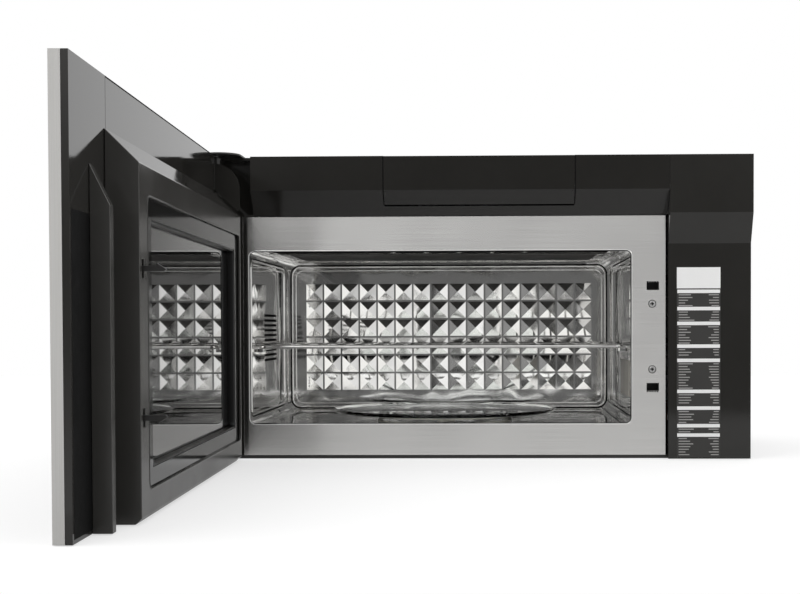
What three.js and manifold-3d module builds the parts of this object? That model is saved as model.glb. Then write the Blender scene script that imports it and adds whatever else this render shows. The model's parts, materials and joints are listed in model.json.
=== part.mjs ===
// Over the range microwave oven with a convection fan, its door open at the left.
// Millimetres. +X is to the right, +Y to the rear, +Z up. The origin lies in the middle of the body's
// base. The pieces are drawn with Y measured from the plane of the upper front band, and the finished
// group is then moved forward by half the body's depth.
import * as THREE from 'three';
import { mergeVertices } from 'three/addons/utils/BufferGeometryUtils.js';
import Module from 'manifold-3d';

const wasm = await Module();
wasm.setup();

// Body.
const bodyWidth = 759;
const bodyHeight = 425.6;
const bodyDepth = 400;
const halfWidth = bodyWidth / 2;
const sheet = 1;
const fit = 0.3;
const plasticWall = 2.5;

// Front, seen from the user: upper band, stainless frame and right-hand panel. Places on the front are
// margins from the body's sides and top, so that they follow its size.
const frameSetback = 31.65;
const frameLeft = 41.5 - halfWidth;
const frameRight = halfWidth - 117.8;
const frameBottom = 4.7;
const frameTop = bodyHeight - 82.1;
const bandSlopeTop = bodyHeight - 47.6;
const bandLeft = 58 - halfWidth;
const panelLeft = halfWidth - 115.5;
const panelSetback = 19.3;
const panelSlopeTop = bodyHeight - 80.6;
const panelSlopeBottom = bodyHeight - 122.6;
const returnDepth = 18;
const pocketDepth = 8.5;

// Oven cavity.
const openLeft = 49.8 - halfWidth;
const openRight = halfWidth - 165.8;
const openBottom = 48.9;
const openTop = bodyHeight - 130.3;
const openRadius = 8;
const cavityDepth = bodyDepth - 44;
const cavityFlare = 2;
const cavitySheet = 0.8;
const cavityFlange = 9;
const diamondGroove = 1.4;
const diamondHeight = 3.6;
const diamondColumns = 16;
const diamondRows = 6;
const diamondLeft = 33.5;
const diamondRight = 32.3;
const diamondBottom = 33.2;
const diamondTop = 36.6;

// Door, in its closed place.
const doorGap = 2.5;
const doorEdge = 1.5;
const doorRight = halfWidth - 0.8;
const shellDepth = 10.75;
const linerBase = 17.54;
const linerDepth = 50.14;
const linerLeft = 7.5 - halfWidth;
const linerRight = halfWidth - 121.3;
const linerTopBack = bodyHeight - 50.2;
const linerTopFront = bodyHeight - 82.3;
const linerChamfer = 6;
const openAngle = 88.05;
const hingeX = 11.4 - halfWidth;
const hingeY = -1.76;
const hingePinRadius = 3;
const knuckleRadius = 6.5;
const glassMargin = 26;
const glassCorner = 4;
const glassThickness = 4;
const windowLeft = 17.5 - halfWidth;
const windowRight = halfWidth - 157.3;
const windowBottom = 29.5;
const windowTop = bodyHeight - 110.6;
const windowRadius = 10;
const recessLeft = 45.5 - halfWidth;
const recessRight = halfWidth - 186;
const recessBottom = 48.7;
const recessTop = bodyHeight - 131.9;
const trayDepth = 15;
const barLeft = halfWidth - 78;
const barWidth = 13;
const barTopBack = bodyHeight - 89.6;
const barTopFront = bodyHeight - 127.6;
const barDepth = 18.5;
const finOffset = 10.1;
const finThickness = 3;

// Latch.
const latchX = halfWidth - 136;
const latchUpper = bodyHeight - 181.9;
const latchLower = 101;
const latchThickness = 5;
const latchShank = 5.4;
const latchBarb = 2.4;
const latchReach = 22.5;
const latchPivotDepth = 38;
const latchTail = 12;
const slotWidth = 17.2;
const slotHeight = 11;

// Filter flap in the upper band.
const flapLeft = -134.7;
const flapRight = 131.6;
const flapBottom = bodyHeight - 66.6;
const flapPivotY = 21;
const flapPivotZ = bodyHeight - 62.4;
const flapPinRadius = 1.8;

// Turntable and rack.
const trayRadius = cavityDepth / 2 - 5;
const trayThickness = 3.6;
const trayRim = 7;
const rollerRadius = 3.75;
const rollerWidth = 6;
const rollerCircle = 104;
const ringTube = 2.4;
const rackHeight = 158.6;
const rackWire = 2.5;
const rackCrossWire = 1.6;
const rackInset = 13.5;
const rackFront = 52;
const rackRear = 15.65;
const rackCrossCount = 17;

// Convection unit on the left-hand wall.
const convectionY = 228.5;
const convectionDrop = 1.1;
const convectionHeight = 180;
const convectionLength = 190;
const convectionDepth = 23;
const convectionFanRadius = 55;
const heaterRadius = 74;
const heaterTube = 3;

const frameBack = frameSetback + sheet;
const cavityLeft = openLeft - cavityFlare;
const cavityRight = openRight + cavityFlare;
const cavityBottom = openBottom - cavityFlare;
const cavityTop = openTop + cavityFlare;
const cavityFront = frameBack + fit;
const cavityBack = frameSetback + cavityDepth;
const cavityCentreX = (openLeft + openRight) / 2;
const cavityCentreY = frameSetback + cavityDepth / 2;
const convectionZ = (cavityBottom + cavityTop) / 2 - convectionDrop;
const rackBack = cavityBack - rackRear;
const doorFace = -doorGap - linerBase;
const doorLeft = doorEdge - halfWidth;
const linerFace = doorFace + linerDepth;
const bezelBack = frameSetback - fit;

const finish = (color, roughness, metalness) =>
  new THREE.MeshStandardMaterial({ color, roughness, metalness });
const stainless = finish(0xb2b1af, 0.32, 1);
const polishedSteel = finish(0xc4c3c0, 0.15, 1);
const zincSteel = finish(0xa9abad, 0.45, 1);
const glossBlack = finish(0x1c1b1a, 0.12, 0);
const satinBlack = finish(0x2b2a29, 0.45, 0);
const darkEnamel = finish(0x3a3938, 0.4, 0.2);
const whiteNylon = finish(0xd9d6cc, 0.5, 0);
const smokedGlass = finish(0x111213, 0.05, 0);
const clearGlass = finish(0xcfe0dc, 0.05, 0);
const chrome = finish(0xd6d6d4, 0.08, 1);
const copper = finish(0xa8603a, 0.4, 1);
const boardGreen = finish(0x2f5a3a, 0.6, 0);
const carbonGrey = finish(0x33312e, 0.95, 0);
const aluminiumMesh = finish(0xb9bbbc, 0.5, 1);
const mica = finish(0x8f8a80, 0.7, 0);

function signedVolume(positions, triangles) {
  let total = 0;
  const a = new THREE.Vector3();
  const b = new THREE.Vector3();
  const c = new THREE.Vector3();
  for (let i = 0; i < triangles.length; i += 3) {
    a.fromArray(positions, triangles[i] * 3);
    b.fromArray(positions, triangles[i + 1] * 3);
    c.fromArray(positions, triangles[i + 2] * 3);
    total += a.dot(b.cross(c));
  }
  return total;
}

function toSolid(geometry) {
  geometry.deleteAttribute('normal');
  geometry.deleteAttribute('uv');
  const merged = mergeVertices(geometry, 1e-4);
  const vertProperties = new Float32Array(merged.attributes.position.array);
  const triVerts = new Uint32Array(merged.index.array);
  if (signedVolume(vertProperties, triVerts) < 0) {
    triVerts.reverse();
  }
  return new wasm.Manifold(new wasm.Mesh({ numProp: 3, vertProperties, triVerts }));
}

function toGeometry(solid) {
  const result = solid.getMesh();
  const geometry = new THREE.BufferGeometry();
  geometry.setAttribute('position', new THREE.BufferAttribute(result.vertProperties, 3));
  geometry.setIndex(new THREE.BufferAttribute(result.triVerts, 1));
  return geometry;
}

// A mesh is built from its solid, and its solid may first be moved to the group's own origin.
function addMesh(group, name, solid, material) {
  const mesh = new THREE.Mesh(toGeometry(solid), material);
  mesh.name = name;
  mesh.position.copy(group.position).negate();
  group.add(mesh);
}

const block = (x0, x1, y0, y1, z0, z1) => toSolid(
  new THREE.BoxGeometry(x1 - x0, y1 - y0, z1 - z0).translate((x0 + x1) / 2, (y0 + y1) / 2, (z0 + z1) / 2));

// Outlines extruded along an axis: x takes (y, z) points, y takes (x, z) points, z takes (x, y) points.
const axisFrames = {
  x: new THREE.Matrix4().set(0, 0, 1, 0, 1, 0, 0, 0, 0, 1, 0, 0, 0, 0, 0, 1),
  y: new THREE.Matrix4().set(1, 0, 0, 0, 0, 0, 1, 0, 0, 1, 0, 0, 0, 0, 0, 1),
  z: new THREE.Matrix4(),
};

function extrude(axis, shape, from, to, curveSegments = 6) {
  const geometry = new THREE.ExtrudeGeometry(shape, { depth: to - from, bevelEnabled: false, curveSegments });
  geometry.translate(0, 0, from);
  return toSolid(geometry.applyMatrix4(axisFrames[axis]));
}

const outline = (points) => new THREE.Shape(points.map(([a, b]) => new THREE.Vector2(a, b)));

function roundedRect(a0, a1, b0, b1, radius) {
  const shape = new THREE.Shape();
  shape.moveTo(a0 + radius, b0);
  shape.lineTo(a1 - radius, b0);
  shape.absarc(a1 - radius, b0 + radius, radius, -Math.PI / 2, 0, false);
  shape.lineTo(a1, b1 - radius);
  shape.absarc(a1 - radius, b1 - radius, radius, 0, Math.PI / 2, false);
  shape.lineTo(a0 + radius, b1);
  shape.absarc(a0 + radius, b1 - radius, radius, Math.PI / 2, Math.PI, false);
  shape.lineTo(a0, b0 + radius);
  shape.absarc(a0 + radius, b0 + radius, radius, Math.PI, 1.5 * Math.PI, false);
  return shape;
}

// A round bar along an axis, through the point (a, b) of the plane across it.
function bar(axis, radius, a, b, from, to, sides = 20) {
  const geometry = new THREE.CylinderGeometry(radius, radius, to - from, sides);
  geometry.rotateX(Math.PI / 2).translate(a, b, (from + to) / 2);
  return toSolid(geometry.applyMatrix4(axisFrames[axis]));
}

const ring = (axis, outer, inner, a, b, from, to, sides = 24) =>
  bar(axis, outer, a, b, from, to, sides).subtract(bar(axis, inner, a, b, from - 1, to + 1, sides));

const joined = (solids) => solids.reduce((whole, solid) => whole.add(solid));

// A shape turned about an axis through (a, b), from points of radius and height along it.
function turned(axis, profile, a, b, sides = 40) {
  const geometry = new THREE.LatheGeometry(outlinePoints(profile), sides);
  geometry.rotateX(Math.PI / 2);
  return toSolid(geometry.translate(a, b, 0).applyMatrix4(axisFrames[axis]));
}

const outlinePoints = (profile) => profile.map(([radius, height]) => new THREE.Vector2(radius, height));

// How far a cut runs past the face that it opens, and how deep a joined solid is sunk in its neighbour.
const over = 1;
const sink = 0.2;

// ---- Cabinet ----

const outletLeft = -90;
const outletRight = 90;
const outletFront = bodyDepth - 100;
const outletBack = bodyDepth - 28;
const grommetX = halfWidth - 79.5;
const grommetY = bodyDepth - 38;
const grommetRadius = 11;
const grommetBore = 5;
const grommetDepth = 6;
const grommetFlange = 3;
const grommetRise = 2.6;
const cabinetBoltX = 180;
const cabinetBoltY = bodyDepth - 120;
const cabinetBoltRadius = 3.5;

function makeCabinetShell() {
  const side = halfWidth - sheet;
  const top = bodyHeight - sheet;
  const profile = outline([[-halfWidth, 0], [-halfWidth, bodyHeight], [halfWidth, bodyHeight], [halfWidth, 0],
    [side, 0], [side, top], [-side, top], [-side, 0]]);
  const z0 = top - over;
  const z1 = bodyHeight + over;
  let shell = extrude('y', profile, frameSetback, bodyDepth);
  shell = shell.subtract(block(outletLeft, outletRight, outletFront, outletBack, z0, z1));
  shell = shell.subtract(bar('z', grommetRadius, grommetX, grommetY, z0, z1));
  for (const sign of [-1, 1]) {
    shell = shell.subtract(bar('z', cabinetBoltRadius, sign * cabinetBoltX, cabinetBoltY, z0, z1));
  }
  return shell;
}

const wallSlotX = 250;
const wallSlotWidth = 60;
const wallSlotBottom = 30;
const wallSlotHeight = 8;

function makeRearPanel() {
  const side = halfWidth - sheet - fit;
  const front = bodyDepth - sheet;
  let panel = block(-side, side, front, bodyDepth, sheet + fit, bodyHeight - sheet - fit);
  for (const sign of [-1, 1]) {
    const left = sign * wallSlotX - wallSlotWidth / 2;
    panel = panel.subtract(block(left, left + wallSlotWidth, front - over, bodyDepth + over,
      wallSlotBottom, wallSlotBottom + wallSlotHeight));
  }
  return panel;
}

const greaseWidth = halfWidth - 149.5;
const greaseLength = 160;
const greaseFront = 110;
const greaseThickness = 8.5;
const greaseLip = 5;
const greaseRim = 9;
const greasePocket = 1.5;
const greaseLeftX = 39.5 - halfWidth + greaseWidth / 2;
const greaseRightX = 12 + greaseWidth / 2;
const lampLensX = -58;
const lampLensY = 78;
const lampLensWidth = 60;
const lampLensLength = 34;
const lampLensLip = 3;
const lampLensRim = 2;
const tongueHalf = 5;
const tongueRoom = 1;

function makeBasePlate() {
  const side = halfWidth - sheet - fit;
  const room = tongueHalf + tongueRoom;
  let plate = block(-side, side, frameSetback, bodyDepth - sheet - fit, 0, sheet);
  plate = plate.add(block(-side, side, frameSetback, frameBack, 0, frameBottom - fit));
  plate = plate.subtract(block(hingeX - room, hingeX + room, frameSetback - over, frameBack + over,
    sheet, frameBottom));
  for (const middle of [greaseLeftX, greaseRightX]) {
    const half = greaseWidth / 2 - greaseLip;
    plate = plate.subtract(block(middle - half, middle + half, greaseFront + greaseLip,
      greaseFront + greaseLength - greaseLip, -over, sheet + over));
  }
  return plate.subtract(block(lampLensX - lampLensWidth / 2, lampLensX + lampLensWidth / 2,
    lampLensY - lampLensLength / 2, lampLensY + lampLensLength / 2, -over, sheet + over));
}

function makeGreaseFilter(middle) {
  const left = middle - greaseWidth / 2;
  const right = middle + greaseWidth / 2;
  const back = greaseFront + greaseLength;
  const bottom = sheet + fit;
  const cut = block(left + greaseRim, right - greaseRim, greaseFront + greaseRim, back - greaseRim,
    bottom - over, bottom + greasePocket);
  return block(left, right, greaseFront, back, bottom, bottom + greaseThickness).subtract(cut);
}

function makeLampLens() {
  const x0 = lampLensX - lampLensWidth / 2 + fit;
  const x1 = lampLensX + lampLensWidth / 2 - fit;
  const y0 = lampLensY - lampLensLength / 2 + fit;
  const y1 = lampLensY + lampLensLength / 2 - fit;
  const lip = lampLensLip;
  const seat = sheet + fit;
  const pane = block(x0, x1, y0, y1, fit, seat + lampLensRim / 2);
  return pane.add(block(x0 - lip, x1 + lip, y0 - lip, y1 + lip, seat, seat + lampLensRim));
}

const lampSink = { halfWidth: 26, halfLength: 14, base: 3, finHeight: 10, fin: 3, pitch: 9, count: 5 };

function makeCooktopLamp() {
  const bottom = sheet + lampLensRim + 2 * fit;
  const top = bottom + lampSink.base;
  const y0 = lampLensY - lampSink.halfLength;
  const y1 = lampLensY + lampSink.halfLength;
  const solids = [block(lampLensX - lampSink.halfWidth, lampLensX + lampSink.halfWidth, y0, y1, bottom, top)];
  for (let i = 0; i < lampSink.count; i += 1) {
    const x = lampLensX + (i - (lampSink.count - 1) / 2) * lampSink.pitch;
    solids.push(block(x - lampSink.fin / 2, x + lampSink.fin / 2, y0, y1, top - sink, top + lampSink.finHeight));
  }
  return joined(solids);
}

function makeGrommet() {
  const bottom = bodyHeight - grommetDepth;
  const seat = bodyHeight + fit;
  const top = bodyHeight + grommetRise;
  const neck = grommetRadius - fit;
  const flange = grommetRadius + grommetFlange;
  const profile = [[grommetBore, bottom], [neck, bottom], [neck, seat], [flange, seat], [flange, top],
    [grommetBore, top], [grommetBore, bottom]];
  return turned('z', profile, grommetX, grommetY, 24);
}

// ---- Front ----

// A sloping wall's height and the height of its inner corner, both in wall thicknesses.
const slopeWallRise = 1.4;
const slopeCornerRise = 0.45;
const bandGap = 0.8;
const bandSlopeBottom = frameTop + bandGap;

function makeBezel() {
  const wall = plasticWall;
  const profile = outline([[bezelBack, bodyHeight], [0, bodyHeight], [0, bandSlopeTop], [bezelBack, bandSlopeBottom],
    [bezelBack, bandSlopeBottom + slopeWallRise * wall], [wall, bandSlopeTop + slopeCornerRise * wall],
    [wall, bodyHeight - wall], [bezelBack, bodyHeight - wall]]);
  const filled = outline([[bezelBack, bodyHeight], [0, bodyHeight], [0, bandSlopeTop], [bezelBack, bandSlopeBottom]]);
  const band = extrude('x', profile, bandLeft, panelLeft - fit);
  const endWall = extrude('x', filled, bandLeft, bandLeft + wall);
  let bezel = joined([band, endWall, ...hingePocketWalls(), ...filterBoxWalls()]).subtract(flapOpening());
  for (const x of [flapLeft - fit - wall, flapRight + fit]) {
    const hole = bar('x', flapPinRadius + fit, flapPivotY, flapPivotZ, x - fit, x + wall + fit, 12);
    bezel = bezel.subtract(hole);
  }
  return bezel;
}

const pocketWall = 2;
const columnWall = 1.5;
const doorSwing = 14;

// The hinge side of the front: a pocket that the door's arm turns in, and a plain column below it.
function hingePocketWalls() {
  const left = sheet + fit - halfWidth;
  const right = bandLeft + plasticWall;
  const front = frameSetback + pocketDepth;
  const back = front + pocketWall;
  const top = bodyHeight - sheet - fit;
  const bottom = bandSlopeBottom;
  const floor = bottom + plasticWall;
  return [
    block(left, right, front, back, bottom, top),
    block(left, right, doorSwing, back, top - plasticWall, top),
    block(sheet / 2 - halfWidth, right, doorSwing, bezelBack, top - plasticWall, bodyHeight),
    block(left, right, frameSetback, back, bottom, floor),
    block(right - plasticWall, right, bezelBack - over, back, bottom, top),
    block(left, frameLeft - fit, frameSetback, frameSetback + columnWall, frameBottom, floor),
  ];
}

const filterShelf = bodyHeight - 56.4;
const filterShelfThickness = 1.2;
const filterShelfFront = 26;
const filterTongueFront = 14;
const filterTongueInset = 4.5;
const filterBoxBottom = bodyHeight - 73.6;
const filterBoxFoot = 24;

function filterBoxWalls() {
  const top = bodyHeight - plasticWall;
  const left = flapLeft - fit - plasticWall;
  const right = flapRight + fit;
  const shelfTop = filterShelf + filterShelfThickness;
  const wallShape = outline([[bezelBack, filterBoxBottom], [bezelBack, top], [over, top],
    [over, bandSlopeTop + 2 * over], [filterBoxFoot, filterBoxBottom]]);
  return [
    extrude('x', wallShape, left, left + plasticWall),
    extrude('x', wallShape, right, right + plasticWall),
    block(left, right + plasticWall, filterShelfFront, bezelBack, filterShelf, shelfTop),
    block(flapLeft + filterTongueInset, flapRight - filterTongueInset, filterTongueFront, bezelBack,
      filterShelf, shelfTop),
  ];
}

const flapLip = 2;
const flapLipBack = 24;

function flapOpening() {
  const lip = flapBottom - flapLip;
  const back = plasticWall + fit;
  const shape = outline([[-over, bodyHeight + over], [back, bodyHeight + over], [back, bandSlopeTop + fit + over],
    [flapLipBack, lip], [-over, lip]]);
  return extrude('x', shape, flapLeft - fit, flapRight + fit);
}

const flapEar = { inset: 0.5, thickness: 3, back: 3, below: 2.6, above: 3 };
const flapPinReach = 2;

function makeFlap() {
  const top = bodyHeight - fit;
  const wall = plasticWall;
  const foot = bezelBack * (bandSlopeTop - flapBottom) / (bandSlopeTop - bandSlopeBottom);
  const shape = outline([[wall, top], [0, top], [0, bandSlopeTop], [foot, flapBottom],
    [foot + slopeWallRise * wall, flapBottom + sheet / 2], [wall, bandSlopeTop + slopeCornerRise * wall]]);
  const solids = [extrude('x', shape, flapLeft, flapRight)];
  const back = flapPivotY + flapEar.back;
  const ear = outline([[wall - over, bandSlopeTop + wall], [wall - over, bandSlopeTop - wall],
    [foot + over, flapBottom + over], [back, flapPivotZ - flapEar.below], [back, flapPivotZ + flapEar.above]]);
  for (const x of [flapLeft + flapEar.inset, flapRight - flapEar.inset - flapEar.thickness]) {
    solids.push(extrude('x', ear, x, x + flapEar.thickness));
  }
  for (const x of [flapLeft, flapRight]) {
    solids.push(bar('x', flapPinRadius, flapPivotY, flapPivotZ, x - flapPinReach, x + flapPinReach, 12));
  }
  return joined(solids);
}

const charcoal = { side: 5, front: 12, back: 27, cell: 34, pitch: 42, edge: 20, margin: 8, recess: 3 };

function makeCharcoalFilter() {
  const bottom = filterShelf + filterShelfThickness + fit;
  const top = bodyHeight - plasticWall - 2 * over;
  const left = flapLeft + charcoal.side;
  const right = flapRight - charcoal.side;
  let pad = block(left, right, charcoal.front, charcoal.back, bottom, top);
  for (let x = flapLeft + charcoal.edge; x + charcoal.cell < right; x += charcoal.pitch) {
    pad = pad.subtract(block(x, x + charcoal.cell, charcoal.front - over, charcoal.front + charcoal.recess,
      bottom + charcoal.margin, top - charcoal.margin));
  }
  return pad;
}

function makeFrontFrame() {
  const back = frameSetback + returnDepth;
  const plate = block(frameLeft, frameRight, frameSetback, frameBack, frameBottom, frameTop);
  const sideReturn = block(frameRight - sheet, frameRight, frameSetback, back, frameBottom, frameTop);
  const topReturn = block(frameLeft, frameRight, frameSetback, back, frameTop - sheet, frameTop);
  const opening = roundedRect(openLeft, openRight, openBottom, openTop, openRadius);
  let frame = joined([plate, sideReturn, topReturn]);
  frame = frame.subtract(extrude('y', opening, frameSetback - over, frameBack + over));
  for (const z of [latchUpper, latchLower]) {
    frame = frame.subtract(block(latchX - slotWidth / 2, latchX + slotWidth / 2, frameSetback - over,
      frameBack + over, z - slotHeight / 2, z + slotHeight / 2));
  }
  return frame;
}

// The right-hand panel's side view, drawn smaller by the inset for its hollow.
function panelOutline(inset, bottom, back) {
  return outline([[back, bodyHeight - inset], [inset, bodyHeight - inset], [inset, panelSlopeTop - inset / 2],
    [panelSetback + inset, panelSlopeBottom - inset / 2], [panelSetback + inset, bottom], [back, bottom]]);
}

const boardLeft = panelLeft + 10;
const boardRight = halfWidth - 7.5;
const boardBottom = bodyHeight - 245.6;
const boardTop = bodyHeight - 25.6;
const boardY = 40;
const boardThickness = 1.6;
const boardBack = boardY + boardThickness;
const boardHoleInset = 8;
const boardPostRadius = 3.5;

function makeRightPanel() {
  const wall = plasticWall;
  const outer = extrude('x', panelOutline(0, fit, bezelBack), panelLeft, halfWidth);
  const hollow = extrude('x', panelOutline(wall, fit + wall, bezelBack + over), panelLeft + wall, halfWidth - wall);
  let panel = outer.subtract(hollow);
  for (const x of [boardLeft + boardHoleInset, boardRight - boardHoleInset]) {
    for (const z of [boardBottom + boardHoleInset, boardTop - boardHoleInset]) {
      const start = z > panelSlopeTop ? wall - over : panelSetback + wall - over;
      panel = panel.add(bar('y', boardPostRadius, x, z, start, boardY - fit, 12));
    }
  }
  return panel;
}

const relay = { x: 16, z: 30, width: 20, height: 22, depth: 16 };
const relayPitch = 30;
const relayCount = 3;
const supplyCoil = { x: 51, z: 70, width: 37, height: 40, depth: 30 };
const controlChip = { x: 26, z: 150, width: 45, height: 22, depth: 4 };
const boardCapacitor = { x: 76, z: 45, radius: 6, depth: 25 };

function makeControlBoard() {
  const start = boardBack - sink;
  const solids = [block(boardLeft, boardRight, boardY, boardBack, boardBottom, boardTop)];
  const mount = ({ x, z, width, height, depth }) => {
    const left = boardLeft + x;
    const bottom = boardBottom + z;
    solids.push(block(left, left + width, start, boardBack + depth, bottom, bottom + height));
  };
  for (let i = 0; i < relayCount; i += 1) {
    mount({ ...relay, z: relay.z + i * relayPitch });
  }
  mount(supplyCoil);
  mount(controlChip);
  solids.push(bar('y', boardCapacitor.radius, boardLeft + boardCapacitor.x, boardBottom + boardCapacitor.z, start,
    boardBack + boardCapacitor.depth, 14));
  return joined(solids);
}

// ---- Oven cavity ----

const ventSlot = { count: 10, width: 3.8, pitch: 7.6, length: 115 };
const waveFront = 83;
const waveBack = 212;
const waveBottom = 84;
const waveTop = 137;
const waveMargin = 7;
const waveY = (waveFront + waveBack) / 2;
const waveZ = (waveBottom + waveTop) / 2;
const couplerHole = 9;

// A field of pyramids whose apexes look to the front, their bases sunk a little into the back wall.
function makeDiamonds() {
  const pitchX = (cavityRight - cavityLeft - diamondLeft - diamondRight) / diamondColumns;
  const pitchZ = (cavityTop - cavityBottom - diamondBottom - diamondTop) / diamondRows;
  const height = diamondHeight + sink;
  const solids = [];
  for (let column = 0; column < diamondColumns; column += 1) {
    for (let row = 0; row < diamondRows; row += 1) {
      const x = cavityLeft + diamondLeft + (column + 0.5) * pitchX;
      const z = cavityBottom + diamondBottom + (row + 0.5) * pitchZ;
      const cone = new THREE.ConeGeometry(Math.SQRT1_2, height, 4);
      cone.rotateY(Math.PI / 4).rotateX(Math.PI).scale(pitchX - diamondGroove, 1, pitchZ - diamondGroove);
      solids.push(toSolid(cone.translate(x, cavityBack + sink - height / 2, z)));
    }
  }
  return joined(solids);
}

function makeCavity() {
  const s = cavitySheet;
  const reach = cavityFlange;
  const outer = block(cavityLeft - s, cavityRight + s, cavityFront, cavityBack + s, cavityBottom - s, cavityTop + s);
  const flange = block(frameLeft + fit, cavityRight + reach, cavityFront, cavityFront + s, cavityBottom - reach,
    cavityTop + reach);
  const inside = roundedRect(cavityLeft, cavityRight, cavityBottom, cavityTop, openRadius);
  let cavity = outer.add(flange).subtract(extrude('y', inside, cavityFront - over, cavityBack));
  const firstSlot = convectionZ - (ventSlot.count - 1) / 2 * ventSlot.pitch - ventSlot.width / 2;
  for (let i = 0; i < ventSlot.count; i += 1) {
    const z = firstSlot + i * ventSlot.pitch;
    cavity = cavity.subtract(block(cavityLeft - s - over, cavityLeft + over,
      convectionY - ventSlot.length / 2, convectionY + ventSlot.length / 2, z, z + ventSlot.width));
  }
  cavity = cavity.subtract(block(cavityRight - over, cavityRight + s + over, waveFront + waveMargin,
    waveBack - waveMargin, waveBottom + waveMargin, waveTop - waveMargin));
  cavity = cavity.subtract(bar('z', couplerHole, cavityCentreX, cavityCentreY, cavityBottom - s - over,
    cavityBottom + over));
  return cavity.add(makeDiamonds());
}

const micaThickness = 1;

function makeWaveguideCover() {
  const face = cavityRight - fit;
  return block(face - micaThickness, face, waveFront, waveBack, waveBottom, waveTop);
}

const guideLeft = cavityRight + cavitySheet + fit;
const guideDepth = 38;
const guideRight = guideLeft + guideDepth;
const antennaHoleRadius = 12;

function makeWaveguide() {
  const outer = block(guideLeft, guideRight, waveFront, waveBack, waveBottom, waveTop);
  const hollow = block(guideLeft - over, guideRight - sheet, waveFront + sheet, waveBack - sheet,
    waveBottom + sheet, waveTop - sheet);
  const hole = bar('x', antennaHoleRadius, waveY, waveZ, guideRight - sheet - over, guideRight + over);
  return outer.subtract(hollow).subtract(hole);
}

const tube = { plate: 2, halfY: 45, halfZ: 35, antenna: 8, antennaReach: 18, core: 20, length: 62, yoke: 3 };
const tubeBox = { length: 22, halfY: 30, halfZ: 22 };
const tubeFin = { count: 4, first: 10, pitch: 12, thickness: 1, halfZ: 30 };

function makeMagnetron() {
  const x0 = guideRight + fit;
  const end = x0 + tube.length;
  const across = (xa, xb, y0, y1, halfZ) => block(xa, xb, waveY + y0, waveY + y1, waveZ - halfZ, waveZ + halfZ);
  const yokeY = tube.halfY - 2 * sheet;
  const solids = [
    across(x0, x0 + tube.plate, -tube.halfY, tube.halfY, tube.halfZ),
    bar('x', tube.antenna, waveY, waveZ, x0 - tube.antennaReach, x0 + tube.plate, 16),
    bar('x', tube.core, waveY, waveZ, x0 + over, end, 24),
    across(end - over, end + tubeBox.length, -tubeBox.halfY, tubeBox.halfY, tubeBox.halfZ),
    across(x0 + over, end, -yokeY, tube.yoke - yokeY, tube.halfZ - tube.yoke),
    across(x0 + over, end, yokeY - tube.yoke, yokeY, tube.halfZ - tube.yoke),
  ];
  for (let i = 0; i < tubeFin.count; i += 1) {
    const x = x0 + tubeFin.first + i * tubeFin.pitch;
    solids.push(across(x, x + tubeFin.thickness, sink - yokeY, yokeY - sink, tubeFin.halfZ));
  }
  return joined(solids);
}

const ironForward = 41.75;
const iron = {
  x: halfWidth - 117.5,
  y: (waveY + bodyDepth) / 2 - ironForward,
  width: 104, height: 84, front: 18, back: 68,
};
const ironFoot = { margin: 4, length: 94, thickness: 2 };
const coil = { width: 32, pitch: 34, edge: 20, front: 4, back: 82, bottom: 18, top: 66 };

function makeTransformer() {
  const z = sheet + fit;
  const { x, y } = iron;
  const { margin, length, thickness } = ironFoot;
  const solids = [
    block(x - margin, x + iron.width + margin, y - margin, y - margin + length, z, z + thickness),
    block(x, x + iron.width, y + iron.front, y + iron.back, z + over, z + iron.height),
  ];
  for (const i of [0, 1]) {
    const left = x + coil.edge + i * coil.pitch;
    solids.push(block(left, left + coil.width, y + coil.front, y + coil.back, z + coil.bottom, z + coil.top));
  }
  return joined(solids);
}

const can = { x: halfWidth - 79.5, y: 50, width: 52, length: 34, radius: 16, height: 92 };
const terminal = { first: 11, pitch: 24, width: 6, y: 16, thickness: 2, height: 9 };

function makeCapacitor() {
  const z = sheet + fit;
  const top = z + can.height;
  const shape = roundedRect(can.x, can.x + can.width, can.y, can.y + can.length, can.radius);
  const solids = [extrude('z', shape, z, top, 4)];
  for (const i of [0, 1]) {
    const x = can.x + terminal.first + i * terminal.pitch;
    const y = can.y + terminal.y;
    solids.push(block(x, x + terminal.width, y, y + terminal.thickness, top - sink, top + terminal.height));
  }
  return joined(solids);
}

// ---- Cooling fan for the magnetron, in the right-hand rear corner ----

const coolX = halfWidth - 61.5;
const coolZ = 215;
const coolRadius = 48;
const coolFront = bodyDepth - 60;
const coolDepth = 30;
const coolBack = coolFront + coolDepth;
const coolTip = 2;
const coolRim = 8;
const coolLeg = { x: 40, half: 6, inset: 6 };
const coolStrut = { half: 4, reach: 40, depth: 4 };
const coolSpider = { half: 6, depth: 3, seat: 20 };
const coolShaft = 2;

function makeCoolingHousing() {
  const half = coolRadius + coolRim;
  const box = block(coolX - half, coolX + half, coolFront, coolBack, coolZ - half, coolZ + half);
  const bore = bar('y', coolRadius + coolTip, coolX, coolZ, coolFront - over, coolBack + over, 32);
  const spiderFront = coolBack - coolSpider.depth;
  const solids = [box.subtract(bore)];
  for (const sign of [-1, 1]) {
    const x = coolX + sign * coolLeg.x;
    solids.push(block(x - coolLeg.half, x + coolLeg.half, coolFront + coolLeg.inset, coolBack - coolLeg.inset,
      sheet + fit, coolZ - half + over));
    solids.push(block(x - coolStrut.half, x + coolStrut.half, coolBack - coolStrut.depth, coolBack,
      coolZ - coolStrut.reach, coolZ + coolStrut.reach));
  }
  solids.push(block(coolX - coolRadius, coolX + coolRadius, spiderFront, coolBack, coolZ - coolSpider.half,
    coolZ + coolSpider.half));
  solids.push(bar('y', coolSpider.seat, coolX, coolZ, spiderFront, coolBack, 24));
  const shaftHole = bar('y', 2 * coolShaft, coolX, coolZ, spiderFront - over, coolBack + over, 16);
  return joined(solids).subtract(shaftHole);
}

const coolMotor = { radius: 21, length: 24, reach: 4 };

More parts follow.
